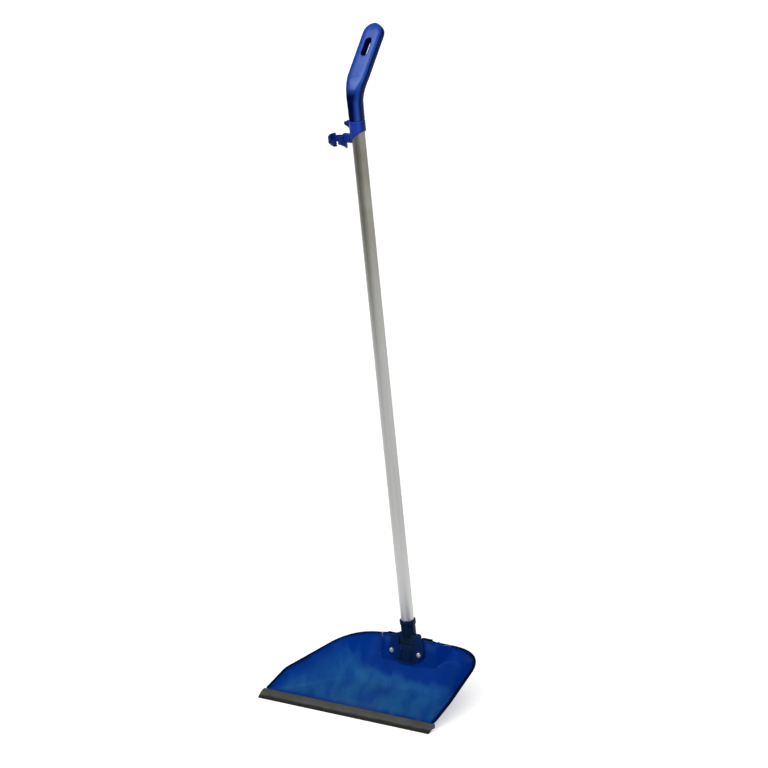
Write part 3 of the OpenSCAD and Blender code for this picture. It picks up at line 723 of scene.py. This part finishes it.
def rowTree():
    tree = bpy.data.node_groups.new("rowOfCopies", "GeometryNodeTree")
    made = {}
    tree.interface.new_socket("Geometry", in_out="INPUT", socket_type="NodeSocketGeometry")
    for label, kind in (("Template", "Object"), ("Count", "Int"), ("Start", "Vector"), ("Step", "Vector"),
                        ("Tilt", "Vector"), ("First Turn", "Float"), ("Turn Step", "Float"), ("Finish", "Material")):
        made[label] = tree.interface.new_socket(label, in_out="INPUT", socket_type="NodeSocket" + kind).identifier
    tree.interface.new_socket("Geometry", in_out="OUTPUT", socket_type="NodeSocketGeometry")
    add = tree.nodes.new
    enter, leave = add("NodeGroupInput"), add("NodeGroupOutput")
    line, info, tilt = add("GeometryNodeMeshLine"), add("GeometryNodeObjectInfo"), add("FunctionNodeEulerToRotation")
    line.mode = "OFFSET"
    index, grow = add("GeometryNodeInputIndex"), add("ShaderNodeMath")
    grow.operation = "MULTIPLY_ADD"
    spin, turn = add("FunctionNodeAxisAngleToRotation"), add("FunctionNodeRotateRotation")
    spin.inputs["Axis"].default_value = (0, 0, 1)
    turn.rotation_space = "LOCAL"
    copies, real = add("GeometryNodeInstanceOnPoints"), add("GeometryNodeRealizeInstances")
    finish = add("GeometryNodeSetMaterial")
    for source, output, target, entry in (
            (enter, "Count", line, "Count"), (enter, "Start", line, "Start Location"), (enter, "Step", line, "Offset"),
            (enter, "Template", info, "Object"), (enter, "Tilt", tilt, 0), (index, 0, grow, 0),
            (enter, "Turn Step", grow, 1), (enter, "First Turn", grow, 2), (grow, 0, spin, "Angle"),
            (tilt, 0, turn, 0), (spin, 0, turn, 1), (line, "Mesh", copies, "Points"),
            (info, "Geometry", copies, "Instance"), (turn, 0, copies, "Rotation"), (copies, "Instances", real, 0),
            (real, 0, finish, "Geometry"), (enter, "Finish", finish, "Material"), (finish, 0, leave, 0)):
        tree.links.new(source.outputs[output], target.inputs[entry])
    return tree, made


copyTree, copySockets = rowTree()


def rowOf(name, template, material, count, start, step, tilt=(0, 0, 0), firstTurn=0.0, turnStep=0.0):
    # start and step in millimetres of the row frame, tilt and turns in degrees
    carrier = bpy.data.objects.new(name, bpy.data.meshes.new(name))
    scene.collection.objects.link(carrier)
    rule = carrier.modifiers.new("rowOfCopies", "NODES")
    rule.node_group = copyTree
    values = {
        "Template": template, "Count": count, "Start": [v * mm for v in start], "Step": [v * mm for v in step],
        "Tilt": [radians(v) for v in tilt], "First Turn": radians(firstTurn),
        "Turn Step": radians(turnStep), "Finish": material,
    }
    for label, value in values.items():
        rule[copySockets[label]] = value
    settle(carrier)
    bpy.data.objects.remove(template)
    return carrier


def asIs(points):
    return list(points)


def buildPan():
    s = pan
    shell = panShell()
    creaseX = s["width"] / 2 - s["creaseInset"]
    low, high = s["loftFrom"] + 5, s["depth"] - s["creaseBack"] - s["bendRadius"] * 0.4 - 4
    top, r = s["floorHeight"] - s["wall"] + 0.6, s["runnerWidth"] / 2
    outline = box(low, 0, high, top, (2.5, 1, 0, 0))
    extra = towerPieces()
    for share in (s["innerRunner"], s["outerRunner"]):
        bar = plate("runnerBar", outline, -r, r, 0.7, "x")
        x = creaseX * share
        extra.append(rowOf("runners", bar, panPlastic, 2, (-x, 0, 0), (2 * x, 0, 0)))
    cross, reach = box(high - s["runnerWidth"], 0, high, top, (0.6, 0.6, 0, 0)), creaseX * s["outerRunner"]
    extra.append(plate("runnerCross", cross, -reach, reach, 0.4, "x"))
    tongue = box(s["tongueFrom"], s["floorHeight"] - s["wall"] + 0.2, s["tongueTo"], s["floorHeight"] - 0.2,
                 (0.5, 0, 0, 0.5))                        # goes into the lip's slot
    reach = s["width"] / 2 - s["tongueInset"]
    extra.append(plate("tongue", tongue, -reach, reach, 0.3, "x"))
    combine(shell, extra).name = "dustpan_pan"
    return smooth(shell, 30)


def markRim(obj):
    # the rim is darker than the walls, and a band below it stays clean
    s = pan
    path = np.array(fromLip([rim for rim, crease in panLines()])) * mm
    seg, start = path[1:] - path[:-1], path[:-1]
    size = (seg * seg).sum(1)
    places = pointRows(obj)
    near = []
    for p in places:
        t = np.clip(((p - start) * seg).sum(1) / size, 0, 1)
        near.append(np.sqrt((((start + seg * t[:, None]) - p) ** 2).sum(1)).min() / mm)
    top = s["rimHeight"] + s["towerUp"]                   # the tower's top edge is dark as well
    edge = fade(places[:, 2] / mm, top - s["towerPlain"], top - s["towerDark"])
    markPoints(obj, "rimAndPaintedLight", np.maximum(fade(np.array(near), s["rimPlain"], s["rimDark"]), edge))
    markPoints(obj, "cleanBand", np.minimum(fade(np.array(near), s["cleanTo"], s["cleanFrom"]), s["cleanMost"]))


panPiece = buildPan()
markRim(panPiece)
finishPiece(panPiece, panPlastic, "pan_body", "pan_plastic", "pan")
print("pan done:", len(panPiece.data.polygons), "faces")


# rubber lip

lip = {"half": 150.0, "depth": 17.0, "height": 10.9, "edge": 1.4, "slotLow": 6.6, "slotTop": 8.9, "slotDeep": 6.0,
       "slotEnd": 4.0, "endRound": 0.8}


def buildLip():
    s = lip
    d, half = s["depth"], s["half"]
    outline = [(0, 0, 0.35), (3, 0, 1.5), (d - 7, s["slotLow"] - 2.2, 2), (d, s["slotLow"] - 2.2, 0.4),
               (d, s["height"], 0.9), (d - 4.6, s["height"], 2.2), (d - 9.6, 8.3, 4), (0, s["edge"], 0.6)]
    strip = plate("dustpan_lip", outline, -half, half, s["endRound"], "x", steps=6)
    slot = box(d - s["slotDeep"], s["slotLow"], d + 4, s["slotTop"], (0.2, 0, 0, 0.2))
    groove = plate("lipSlot", slot, s["slotEnd"] - half, half - s["slotEnd"], 0.01, "x")
    return combine(strip, [groove], "DIFFERENCE")


lipPiece = smooth(buildLip(), 36)
finishPiece(lipPiece, lipRubber, "pan_body", "lip_rubber", "rubber_lip")
print("lip done")


# bracket on the tower

bracket = {"front": 157.5, "back": 163.0, "screwX": 24.0, "screwZ": 56.0, "earIn": 11.3, "earOut": 16.8,
           "stop": 66.7, "pin": 3.05, "sink": 4.8, "sinkDepth": 1.7, "boss": 5.8, "wingFrom": 5.0, "wingTo": 22.0,
           # strength of the painted light on the left and right wing
           "leftWingLight": 0.85, "rightWingLight": 0.35,
           "wing": [(13, 41, 5), (26, 48, 5), (30, 53, 4), (30, 62, 6), (26.5, 77.5, 8), (17.8, 83, 3.5)],
           "ear": [(158.5, 57, 0.8), (162.9, 57, 0.8), (162.9, 63, 3), (173.6, 69.2, 5), (175.2, 83.6, 8.6),
                   (158.5, 83.6, 4.2)],
           "rib": [(156.4, 45, 0.5), (156.4, 60, 0.5), (157.6, 62, 0), (157.6, 43.5, 0)],
           "ribX": 9.0, "ribHalf": 1.1, "bossUp": 1.2}


def buildBracket():
    s = bracket
    pin = (0, hinge["y"], hinge["z"])
    right = s["wing"] + [(s["earIn"], s["wing"][-1][1], 0.8), (s["earIn"], s["stop"], 1.0)]
    outline = right + [(-x, z, r) for x, z, r in right[::-1]]
    base = plate("dustpan_bracket", outline, s["front"], s["back"], 1.1, "y")
    extra, cuts = [], [lathe("pinHole", box(0, -60, s["pin"], 60), 40, fromLip, "x", pin)]
    for sign in (-1, 1):
        side = sorted((sign * s["earIn"], sign * s["earOut"]))
        extra.append(plate("ear", s["ear"], side[0], side[1], 1.9, "x"))
        boss = box(0, s["front"] + 2, s["boss"], s["front"] - s["bossUp"], (0, 0, 0.7, 0))
        extra.append(lathe("boss", boss, 48, fromLip, "y", (sign * s["screwX"], 0, s["screwZ"])))
        middle = sign * s["ribX"]
        extra.append(plate("rib", s["rib"], middle - s["ribHalf"], middle + s["ribHalf"], 0.4, "x"))
        side = sorted((sign * (s["earOut"] - s["sinkDepth"]), sign * (s["earOut"] + 9)))
        cuts.append(lathe("sink", box(0, side[0], s["sink"], side[1]), 48, fromLip, "x", pin))
    return combine(combine(base, extra), cuts, "DIFFERENCE")


def paintBracketLight(obj):
    # painted light: the wings are painted lighter and bluer than the middle, more on the left, less on the right where
    # the socket shades it
    s = bracket
    x = pointRows(obj)[:, 0] / mm
    share = fade(np.abs(x), s["wingFrom"], s["wingTo"])
    markPoints(obj, "rimAndPaintedLight", share * np.where(x < 0, s["leftWingLight"], s["rightWingLight"]))


bracketPiece = smooth(buildBracket(), 30)
paintBracketLight(bracketPiece)
finishPiece(bracketPiece, navyPlastic, "pan_body", "navy_plastic", "pan_bracket")
print("bracket done")


# screws, washers and nuts as rows of copies

fastener = {"headR": 4.2, "headH": 2.8, "shankR": 2.0, "length": 14.7, "threads": 9, "washerBore": 2.15,
            "washerR": 4.6, "washerT": 0.8, "nutR": 4.04, "nutH": 3.2, "nutBore": 2.05, "tapHeadR": 3.2,
            "tapHeadH": 1.8, "tapR": 1.6, "tapLength": 8.0, "tapThreads": 5, "socketSeat": 10.72, "socketAlong": 19.2,
            "gripSeat": 10.2, "gripAlong": 795.7}


def crossRecess(obj, width, span, top, depth):
    # tapered cross driven into the head
    cuts = []
    for turn in (0, 1):
        points = []
        for z, share in ((top - depth, 0.5), (top + 0.6, 1.15)):
            a, b = span / 2 * share, width / 2 * (0.8 + 0.2 * share)
            corners = [(-a, -b), (a, -b), (a, b), (-a, b)]
            points.extend([(x, y, z) if turn == 0 else (-y, x, z) for x, y in corners])
        rings = [points[:4], points[4:]]
        cuts.append(meshObject("cross", rings[0] + rings[1], skin(rings)))
    return combine(obj, cuts, "DIFFERENCE")


def screwTemplate(headR, headH, shankR, length, threads):
    # head on z 0 and up, shank below with a real thread form
    outline = [(0, headH, 0), (headR * 0.36, headH, 1.5), (headR * 0.8, headH * 0.82, 2), (headR, headH * 0.32, 0.8),
               (headR, 0, 0.25), (shankR, 0, 0.2)]
    pitch = length * 0.7 / threads
    for k in range(threads):
        z = -length * 0.28 - k * pitch
        outline += [(shankR, z, 0), (shankR * 0.84, z - pitch * 0.5, 0)]
    outline += [(shankR * 0.7, -length + 0.2, 0.2), (0, -length, 0)]
    screw = lathe("screwTemplate", outline[::-1], 48, asIs)
    return crossRecess(screw, headR * 0.26, headR * 1.05, headH, headH * 0.52)


def ringTemplate(name, inner, outer, thick, edge):
    return lathe(name, box(inner, 0, outer, thick, (edge,) * 4), 48, asIs)


def nutTemplate(radius, height, bore):
    turns = [radians(60 * k) for k in range(6)]
    corners = [(radius * cos(a), radius * sin(a), 0.15) for a in turns]
    nut = plate("nutTemplate", corners, 0, height, 0.25, "z", place=asIs, steps=2)
    dome = lathe("nutDome", [(0, -1, 0), (radius * 0.9, -0.3, 0), (radius * 1.06, height * 0.35, 0),
                             (radius * 1.06, height * 0.65, 0), (radius * 0.9, height + 0.3, 0), (0, height + 1, 0)],
                 48, asIs)
    combine(nut, [dome], "INTERSECT")
    return combine(nut, [lathe("nutBore", box(0, -2, bore, height + 2), 40, asIs)], "DIFFERENCE")


def buildFasteners():
    s, b = fastener, bracket
    step = (2 * b["screwX"], 0, 0)
    offset = -hinge["lipToMiddle"]
    left, z = -b["screwX"], b["screwZ"]
    facing = (90, 0, 0)                                   # template +Z looks forward
    seat, plateBack = b["front"] - b["bossUp"], b["back"] + pan["towerThick"]
    template = screwTemplate(s["headR"], s["headH"], s["shankR"], s["length"], s["threads"])
    screws = rowOf("dustpan_bracket_screws", template, screwSteel, 2, (left, seat + offset, z), step, facing, 22, 37)
    template = ringTemplate("washerTemplate", s["washerBore"], s["washerR"], s["washerT"], 0.12)
    washers = rowOf("dustpan_bracket_washers", template, screwSteel, 2,
                    (left, plateBack + s["washerT"] + offset, z), step, facing)
    template = nutTemplate(s["nutR"], s["nutH"], s["nutBore"])
    nuts = rowOf("dustpan_bracket_nuts", template, screwSteel, 2,
                 (left, plateBack + s["washerT"] + s["nutH"] + offset, z), step, facing, 12, 25)
    for piece, node in ((screws, "bracket_screws"), (washers, "bracket_washers"), (nuts, "bracket_nuts")):
        smooth(piece, 32)
        finishPiece(piece, screwSteel, "pan_body", "screw_steel", node)
    rearward = (-90 + hinge["lean"], 0, 0)                # template +Z looks back, square to the tube
    for name, node, seat, along in (("dustpan_socket_screw", "socket_screw", s["socketSeat"], s["socketAlong"]),
                                    ("dustpan_grip_screw", "grip_screw", s["gripSeat"], s["gripAlong"])):
        template = screwTemplate(s["tapHeadR"], s["tapHeadH"], s["tapR"], s["tapLength"], s["tapThreads"])
        place = onHandle([(0, seat, along)])[0]
        screw = rowOf(name, template, screwSteel, 1, place, (0, 0, 0), rearward, 31)
        smooth(screw, 32)
        finishPiece(screw, screwSteel, "handle_body", "screw_steel", node)


buildFasteners()
print("fasteners done")


# socket and tube

socket = {"knuckle": 11.0, "knuckleR": 8.0, "toe": 8.4, "sleeve": 10.7, "collar": 11.8, "top": 31.0, "bore": 9.55,
          "seat": 13.2, "from": 4.5}
tube = {"outer": 9.5, "inner": 8.5, "from": 14.7, "to": 805.7}


def buildSocket():
    s = socket
    outline = [(0, s["from"], 0), (s["sleeve"], s["from"], 1.2), (s["sleeve"], s["top"] - 8.4, 1.2),
               (s["collar"], s["top"] - 6.4, 1.2), (s["collar"], s["top"], 1.3), (s["bore"], s["top"], 0.4),
               (s["bore"], s["seat"], 0), (0, s["seat"], 0)]
    body = lathe("dustpan_socket", outline, 80)
    y, z = hinge["y"], hinge["z"]
    r, toe = s["knuckleR"], y - s["toe"]
    side = [(toe, z - r, 0.8), (y + r, z - r, 7.6), (y + r, z + r, 7.6), (toe + 5, z + r, 3), (toe, z + r - 0.6, 1.6)]
    combine(body, [plate("knuckle", side, -s["knuckle"], s["knuckle"], 0.7, "x")])
    hole = lathe("pinHole", box(0, -60, bracket["pin"], 60), 40, fromLip, "x", (0, y, z))
    return combine(body, [hole], "DIFFERENCE")


def buildTube():
    s = tube
    outline = [(s["inner"], s["from"], 0.2), (s["outer"], s["from"], 0.3)]
    steps = 16
    for k in range(1, steps):
        outline.append((s["outer"], s["from"] + (s["to"] - s["from"]) * k / steps, 0))
    outline += [(s["outer"], s["to"], 0.3), (s["inner"], s["to"], 0.2)]
    return lathe("dustpan_tube", outline, 96)


socketPiece = smooth(buildSocket(), 30)
finishPiece(socketPiece, navyPlastic, "handle_body", "navy_plastic", "handle_socket")
tubePiece = smooth(buildTube(), 40)
finishPiece(tubePiece, tubeAluminium, "handle_body", "tube_aluminium", "handle_tube")
print("socket and tube done")


# grip: rounded sections along a neck, a bend and a flat upper part with the hanging slot

# the side and neck tones set the strength of the painted shade on the grip
grip = {"from": 781.7, "over": 24.0, "neck": 10.7, "bendAt": 25.0, "bend": 42.0, "bendRadius": 50.0, "length": 81.5,
        "halfWidth": 15.8, "halfThick": 5.8, "rearFull": 2.4, "square": 0.5, "slotLength": 27.0, "slotWidth": 9.5,
        "slotAt": 43.5, "slotRound": 1.5, "points": 80, "seatR": 3.5, "sideShade": 0.85, "sideFrom": 0.45,
        "sideTo": 0.95, "neckSideFrom": 0.72, "neckSideTo": 0.98, "neckShade": 0.97, "neckFull": 36.0, "neckEnd": 46.0,
        "neckOval": 0.2, "tipThin": 0.62, "rightFrom": 0.56, "rightTo": 0.16, "rearFrom": 0.3, "rearTo": 0.0}


def gripStations():
    # each station is (y, z, tilt, half width, half thickness, squareness)
    s = grip
    neck, tip = s["neck"], s["length"] - s["halfWidth"]
    rows = []
    for lift, cut in ((0.0, 1.0), (0.15, 0.5), (0.45, 0.16), (0.9, 0.0)):
        rows.append((0, lift, 0, neck - cut, neck - cut, 1))
    for i in range(1, 10):
        f = i / 10
        rows.append((0, s["bendAt"] * f, 0, neck + s["neckOval"] * f, neck - s["neckOval"] * f, 1 - 0.1 * f))
    wide, deep = neck + s["neckOval"], neck - s["neckOval"]
    for i in range(29):
        f = i / 28
        ease = 0.4 * f + 0.6 * f * f * (3 - 2 * f)
        a = radians(s["bend"] * f)
        rows.append((s["bendRadius"] * (1 - cos(a)), s["bendAt"] + s["bendRadius"] * sin(a), s["bend"] * f,
                     wide + (s["halfWidth"] - wide) * ease, deep + (s["halfThick"] - deep) * ease,
                     0.9 + (s["square"] - 0.9) * f))
    endY, endZ = rows[-1][0], rows[-1][1]
    run = [tip * i / 12 for i in range(1, 13)]
    turns = (8, 16, 24, 32, 40, 48, 56, 63, 70, 76, 81, 85, 88)        # degrees round the tip
    run += [tip + s["halfWidth"] * sin(radians(a)) for a in turns]
    a = radians(s["bend"])
    for d in run:
        share = 1 if d <= tip else sqrt(max(0, 1 - ((d - tip) / s["halfWidth"]) ** 2))
        rows.append((endY + d * sin(a), endZ + d * cos(a), s["bend"], s["halfWidth"] * share,
                     s["halfThick"] * (s["tipThin"] + (1 - s["tipThin"]) * share), s["square"]))
    return rows, (endY, endZ)


def softPower(c, p):
    return copysign(abs(c) ** p, c)


def buildGrip():
    s = grip
    rows, (endY, endZ) = gripStations()
    rings = []
    for y, z, tilt, w, t, p in rows:
        a = radians(tilt)
        ring = []
        for k in range(s["points"]):
            q = 2 * pi * k / s["points"]
            rear = s["rearFull"] * w / s["halfWidth"] if sin(q) > 0 else 0.0       # fuller towards the back
            u, v = w * softPower(cos(q), p), (t + rear) * softPower(sin(q), p)
            ring.append((u, y + v * cos(a), z - v * sin(a) + s["from"]))
        rings.append(ring)
    body = meshObject("dustpan_grip", placed(rings, onHandle), skin(rings))
    a = radians(s["bend"])
    half, r = (s["slotLength"] - s["slotWidth"]) / 2, s["slotWidth"] / 2
    levels = []
    inner = s["halfThick"] - s["slotRound"]
    for k in range(7):
        turn = pi / 2 * k / 6
        levels.append((inner + s["slotRound"] * sin(turn), s["slotRound"] * (1 - cos(turn))))
    levels = [(0, 0)] + levels + [(s["halfThick"] + 4, s["slotRound"] + 0.01)]
    levels = [(-d, o) for d, o in levels[:0:-1]] + levels
    cutRings = []
    for depth, out in levels:
        ring = []
        for k in range(48):
            q = 2 * pi * k / 48
            u = (r + out) * cos(q)
            v = (r + out) * sin(q) + (half if sin(q) >= 0 else -half) + s["slotAt"]
            ring.append((u, endY + v * sin(a) + depth * cos(a),
                         endZ + v * cos(a) - depth * sin(a) + s["from"]))
        cutRings.append(ring)
    slot = meshObject("slotCut", placed(cutRings, onHandle), skin(cutRings))
    bore = box(0, s["from"] - 5, socket["bore"], s["from"] + s["over"] + 0.2)
    seat = lathe("screwSeat", box(0, fastener["gripSeat"], s["seatR"], 30), 40, onHandle, "y",
                 (0, 0, fastener["gripAlong"]))
    cuts = [slot, lathe("tubeBore", bore, 80), seat]
    return combine(body, cuts, "DIFFERENCE")


def sideShare(obj, low, high):
    # how far each point faces sideways, 0 to 1
    share = fade(np.abs(pointRows(obj, True)[:, 0]), low, high)
    return share * share * (3 - 2 * share)


handleAxis = np.array((0, -sin(radians(hinge["lean"])), cos(radians(hinge["lean"]))))


def paintGripShade(obj):
    # painted shade: the walls of the hanging slot and the sides are painted darker than the face
    s = grip
    endY, endZ = gripStations()[1]
    a = radians(s["bend"])
    half = (s["slotLength"] - s["slotWidth"]) / 2
    ends = onHandle([(0, endY + d * sin(a), endZ + d * cos(a) + s["from"])
                     for d in (s["slotAt"] - half, s["slotAt"] + half)])
    low, high = [np.array(e) * mm for e in ends]
    through = np.cross((1, 0, 0), (high - low) / np.linalg.norm(high - low))
    places = pointRows(obj)
    p = places - low
    t = np.clip(p @ (high - low) / ((high - low) @ (high - low)), 0, 1)
    off = p - t[:, None] * (high - low)
    depth = np.abs(off @ through)
    reach = np.linalg.norm(off - (off @ through)[:, None] * through, axis=1)
    slotShade = (reach < (s["slotWidth"] / 2 + 0.7) * mm) & (depth < (s["halfThick"] - 0.5) * mm)
    along = (places - np.array(onHandle([(0, 0, s["from"])])[0]) * mm) @ handleAxis / mm
    upper = fade(along, s["bendAt"], s["bendAt"] + s["bendRadius"] / 2)
    sideShadeShare = np.maximum(sideShare(obj, s["sideFrom"], s["sideTo"]) * upper,
                       sideShare(obj, s["neckSideFrom"], s["neckSideTo"]))
    normals = pointRows(obj, True)
    front = fade(normals[:, 0], s["rightFrom"], s["rightTo"]) * fade(normals[:, 1], s["rearFrom"], s["rearTo"])
    front *= fade(along, s["neckEnd"], s["neckFull"])     # the neck's shaded front
    # painted shade on the slot walls, the sides and the neck's front
    markPoints(obj, "rimAndPaintedLight", np.maximum(slotShade, np.maximum(sideShadeShare * s["sideShade"], front * s["neckShade"])))


gripPiece = smooth(buildGrip(), 30)
paintGripShade(gripPiece)
finishPiece(gripPiece, gripPlastic, "handle_body", "grip_plastic", "grip")
print("grip done")


# broom clip

# the jaw tone darkens the arm and jaw, the side tone sets the painted shade on the sides
clip = {"top": 781.3, "inner": 9.56, "outer": 11.56, "frontHeight": 30.0, "rearHeight": 14.0, "jawOff": 36.0,
        "jawR": 10.0, "jawT": 2.6, "fingerH": 20.0, "mouth": 46.0, "fingerMid": 748.1, "webH": 9.5, "webMid": 749.7,
        "armMid": 754.6, "armH": 12.5, "halfThick": 3.0, "jawTone": 0.5, "sideShade": 0.8, "sideFrom": 0.72,
        "sideTo": 0.98, "edge": 0.8, "fingerEnd": 40.0, "webEnd": 34.0, "beadIn": 2.0,
        "hook": [(-14.5, 8.4, 2.5), (-18.2, 7.2, 1.4), (-20.2, 5.4, 1.6), (-19.2, 2.9, 1.4), (-10, 1, 0), (-10, 13, 0)],
        "trim": [(-20, -9, 0), (5, -9, 0), (5, -0.6, 6), (-12, 10.5, 0), (-20, 12, 0)]}


def buildClip():
    s = clip
    top = s["top"]
    body = lathe("dustpan_clip", box(s["inner"], top - 40, s["outer"], top, (0, 0, 0.7, 0.3)), 96)
    out = s["outer"]
    tilt = (s["frontHeight"] - s["rearHeight"]) / (2 * out)

    def lowerEdge(x):
        return top - s["frontHeight"] + (x + out) * tilt

    wedge = [(-40, top - 90, 0), (40, top - 90, 0), (40, lowerEdge(40), 0), (-40, lowerEdge(-40), 0)]
    combine(body, [plate("slantCut", wedge, -40, 40, 0.01, "y", onHandle)], "DIFFERENCE")
    jaw = (-s["jawOff"], 0, 0)
    r0, r1 = s["jawR"], s["jawR"] + s["jawT"]

    def arcOf(z0, z1, start, end):
        return lathe("jawArc", box(r0, z0, r1, z1, (s["edge"],) * 4), 96, onHandle, "z", jaw, (start, end))

    low, high = s["fingerMid"] - s["fingerH"] / 2, s["fingerMid"] + s["fingerH"] / 2
    extra = [arcOf(low, high, s["mouth"] - 90, s["fingerEnd"]),
             arcOf(low, high, 180 - s["fingerEnd"], 270 - s["mouth"]),
             arcOf(s["webMid"] - s["webH"] / 2, s["webMid"] + s["webH"] / 2, s["webEnd"], 180 - s["webEnd"])]
    for sign in (-1, 1):
        a = radians(s["mouth"] - 90 - s["beadIn"])
        reach = r0 + s["jawT"] / 2 + 0.7
        bead = s["jawT"] / 2 + 0.5
        centre = (-s["jawOff"] + sign * reach * cos(a), reach * sin(a), 0)
        outline = box(0, low + 0.4, bead, high - 0.4, (0, 0.9, 0.9, 0))
        extra.append(lathe("bead", outline, 32, onHandle, "z", centre))
    x0, x1 = -s["jawOff"] + r0 + 0.4, -s["inner"] - 0.2
    z0, z1 = s["armMid"] - s["armH"] / 2, s["armMid"] + s["armH"] / 2
    h = s["halfThick"]
    extra.append(plate("arm", box(x0, z0, x1, z1, (0, 0, 0, 1.5)), -h, h, s["edge"], "y", onHandle))
    hook = [(x, top - down, r) for x, down, r in s["hook"]]
    extra.append(plate("hook", hook, -h, h, s["edge"], "y", onHandle))
    combine(body, extra)
    bore = lathe("clipBore", box(0, top - 60, s["inner"], top + 10), 96)
    trim = [(y, low + up, r) for y, up, r in s["trim"]]
    trimmed = plate("fingerTrim", trim, -s["jawOff"] - r1 - 4, -s["jawOff"] + r1 + 1, 0.01, "x", onHandle)
    return combine(body, [bore, trimmed], "DIFFERENCE")


def paintClipShade(obj):
    # the arm and the jaw are darker than the sleeve, and the sides carry painted shade
    s = clip
    jaw = fade(pointRows(obj)[:, 0] / mm, -s["outer"], -s["outer"] - 1) * s["jawTone"]
    markPoints(obj, "rimAndPaintedLight", np.maximum(jaw, sideShare(obj, s["sideFrom"], s["sideTo"]) * s["sideShade"]))


clipPiece = smooth(buildClip(), 30)
paintClipShade(clipPiece)
finishPiece(clipPiece, clipPlastic, "clip_body", "clip_plastic", "broom_clip")
print("clip done")


# nodes that keep their own solid

for node, material in (("hinge_pin", pinSteel), ("pin_ring", pinSteel), ("tube_foot_plug", navyPlastic),
                       ("tube_head_plug", navyPlastic)):
    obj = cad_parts[node]
    obj.data.materials.clear()
    obj.data.materials.append(material)


# stage, lights and camera

stage = {"floorSize": 30.0, "floorTone": 0.9, "bounceTone": 0.3, "frontTone": 0.05, "frontFrom": 0.75, "frontTo": 1.7,
         "frontAzimuth": -15.0, "lift": 0.32, "cameraLift": 0.12, "worldTone": 0.18, "worldGloss": 0.12}


def buildFloor():
    # white for the camera; for light and reflections it ends softly in front, as a studio sheet does
    half = stage["floorSize"] / 2 / mm
    floor = meshObject("studioFloor", [(-half, -half, 0), (half, -half, 0), (half, half, 0), (-half, half, 0)],
                       [(0, 1, 2, 3)])
    material, shader, w = newMaterial("studioFloor", Roughness=0.9, Specular_IOR_Level=0.1, Emission_Color=(1, 1, 1, 1))
    forward = w.add("VectorMath", operation="DOT_PRODUCT")
    w.link(w.place(), forward.inputs[0])
    turn = radians(stage["frontAzimuth"])
    forward.inputs[1].default_value = (sin(turn), -cos(turn), 0)
    path = w.add("LightPath")
    front = w.ramp(forward.outputs["Value"], stage["frontFrom"], stage["frontTo"])
    front = w.times(front, w.minus(1.0, path.outputs["Is Camera Ray"]))
    pale, dim, dark = [(stage[key], stage[key], stage[key], 1) for key in ("floorTone", "bounceTone", "frontTone")]
    seen = w.most(path.outputs["Is Camera Ray"], path.outputs["Is Glossy Ray"])
    seen = w.most(seen, path.outputs["Is Transmission Ray"])
    glow = w.times(w.times(seen, w.minus(1.0, front)), stage["lift"])
    lift = w.times(path.outputs["Is Camera Ray"], stage["cameraLift"])
    w.feed(shader, Base_Color=w.mix(front, w.mix(seen, dim, pale), dark), Emission_Strength=w.plus(glow, lift))
    floor.data.materials.append(material)


def buildWorld():
    world = bpy.data.worlds.new("studio")
    scene.world = world
    world.use_nodes = True
    w = Wires(world.node_tree)
    back = world.node_tree.nodes["Background"]
    tones = [(stage[key], stage[key], stage[key], 1) for key in ("worldTone", "worldGloss")]
    w.link(w.mix(w.add("LightPath").outputs["Is Glossy Ray"], *tones), back.inputs["Color"])   # dim in reflections


def softSun(name, place, strength, spread, diffuse=True, mirrored=True):
    light = bpy.data.lights.new(name, "SUN")
    light.energy = strength
    light.angle = radians(spread)
    obj = bpy.data.objects.new(name, light)
    scene.collection.objects.link(obj)
    obj.location = place
    obj.rotation_euler = Vector(place).to_track_quat("Z", "Y").to_euler()
    obj.visible_diffuse, obj.visible_glossy = diffuse, mirrored


def buildCamera():
    view = {"azimuth": 35.7, "elevation": 11.9, "distance": 5.0, "aim": (0.0022, 0.0025, 0.4642), "lens": 165.75}
    a, e = radians(view["azimuth"]), radians(view["elevation"])
    aim = Vector(view["aim"])
    away = Vector((sin(a) * cos(e), -cos(a) * cos(e), sin(e)))
    data = bpy.data.cameras.new("photoView")
    data.sensor_width, data.lens = 36.0, view["lens"]
    data.clip_end = 100
    camera = bpy.data.objects.new("photoView", data)
    scene.collection.objects.link(camera)
    camera.location = aim + away * view["distance"]
    camera.rotation_euler = (-away).to_track_quat("-Z", "Y").to_euler()
    scene.camera = camera


buildFloor()
buildWorld()
softSun("keyLight", (1.7, -2.85, 2.2), 2.2, 56, mirrored=False)
softSun("sheenLight", (-1.8, -2.56, 2.48), 1.0, 30, diffuse=False)
softSun("topLight", (0.8, 1.0, 3.7), 0.7, 70, mirrored=False)
buildCamera()
print("stage done")
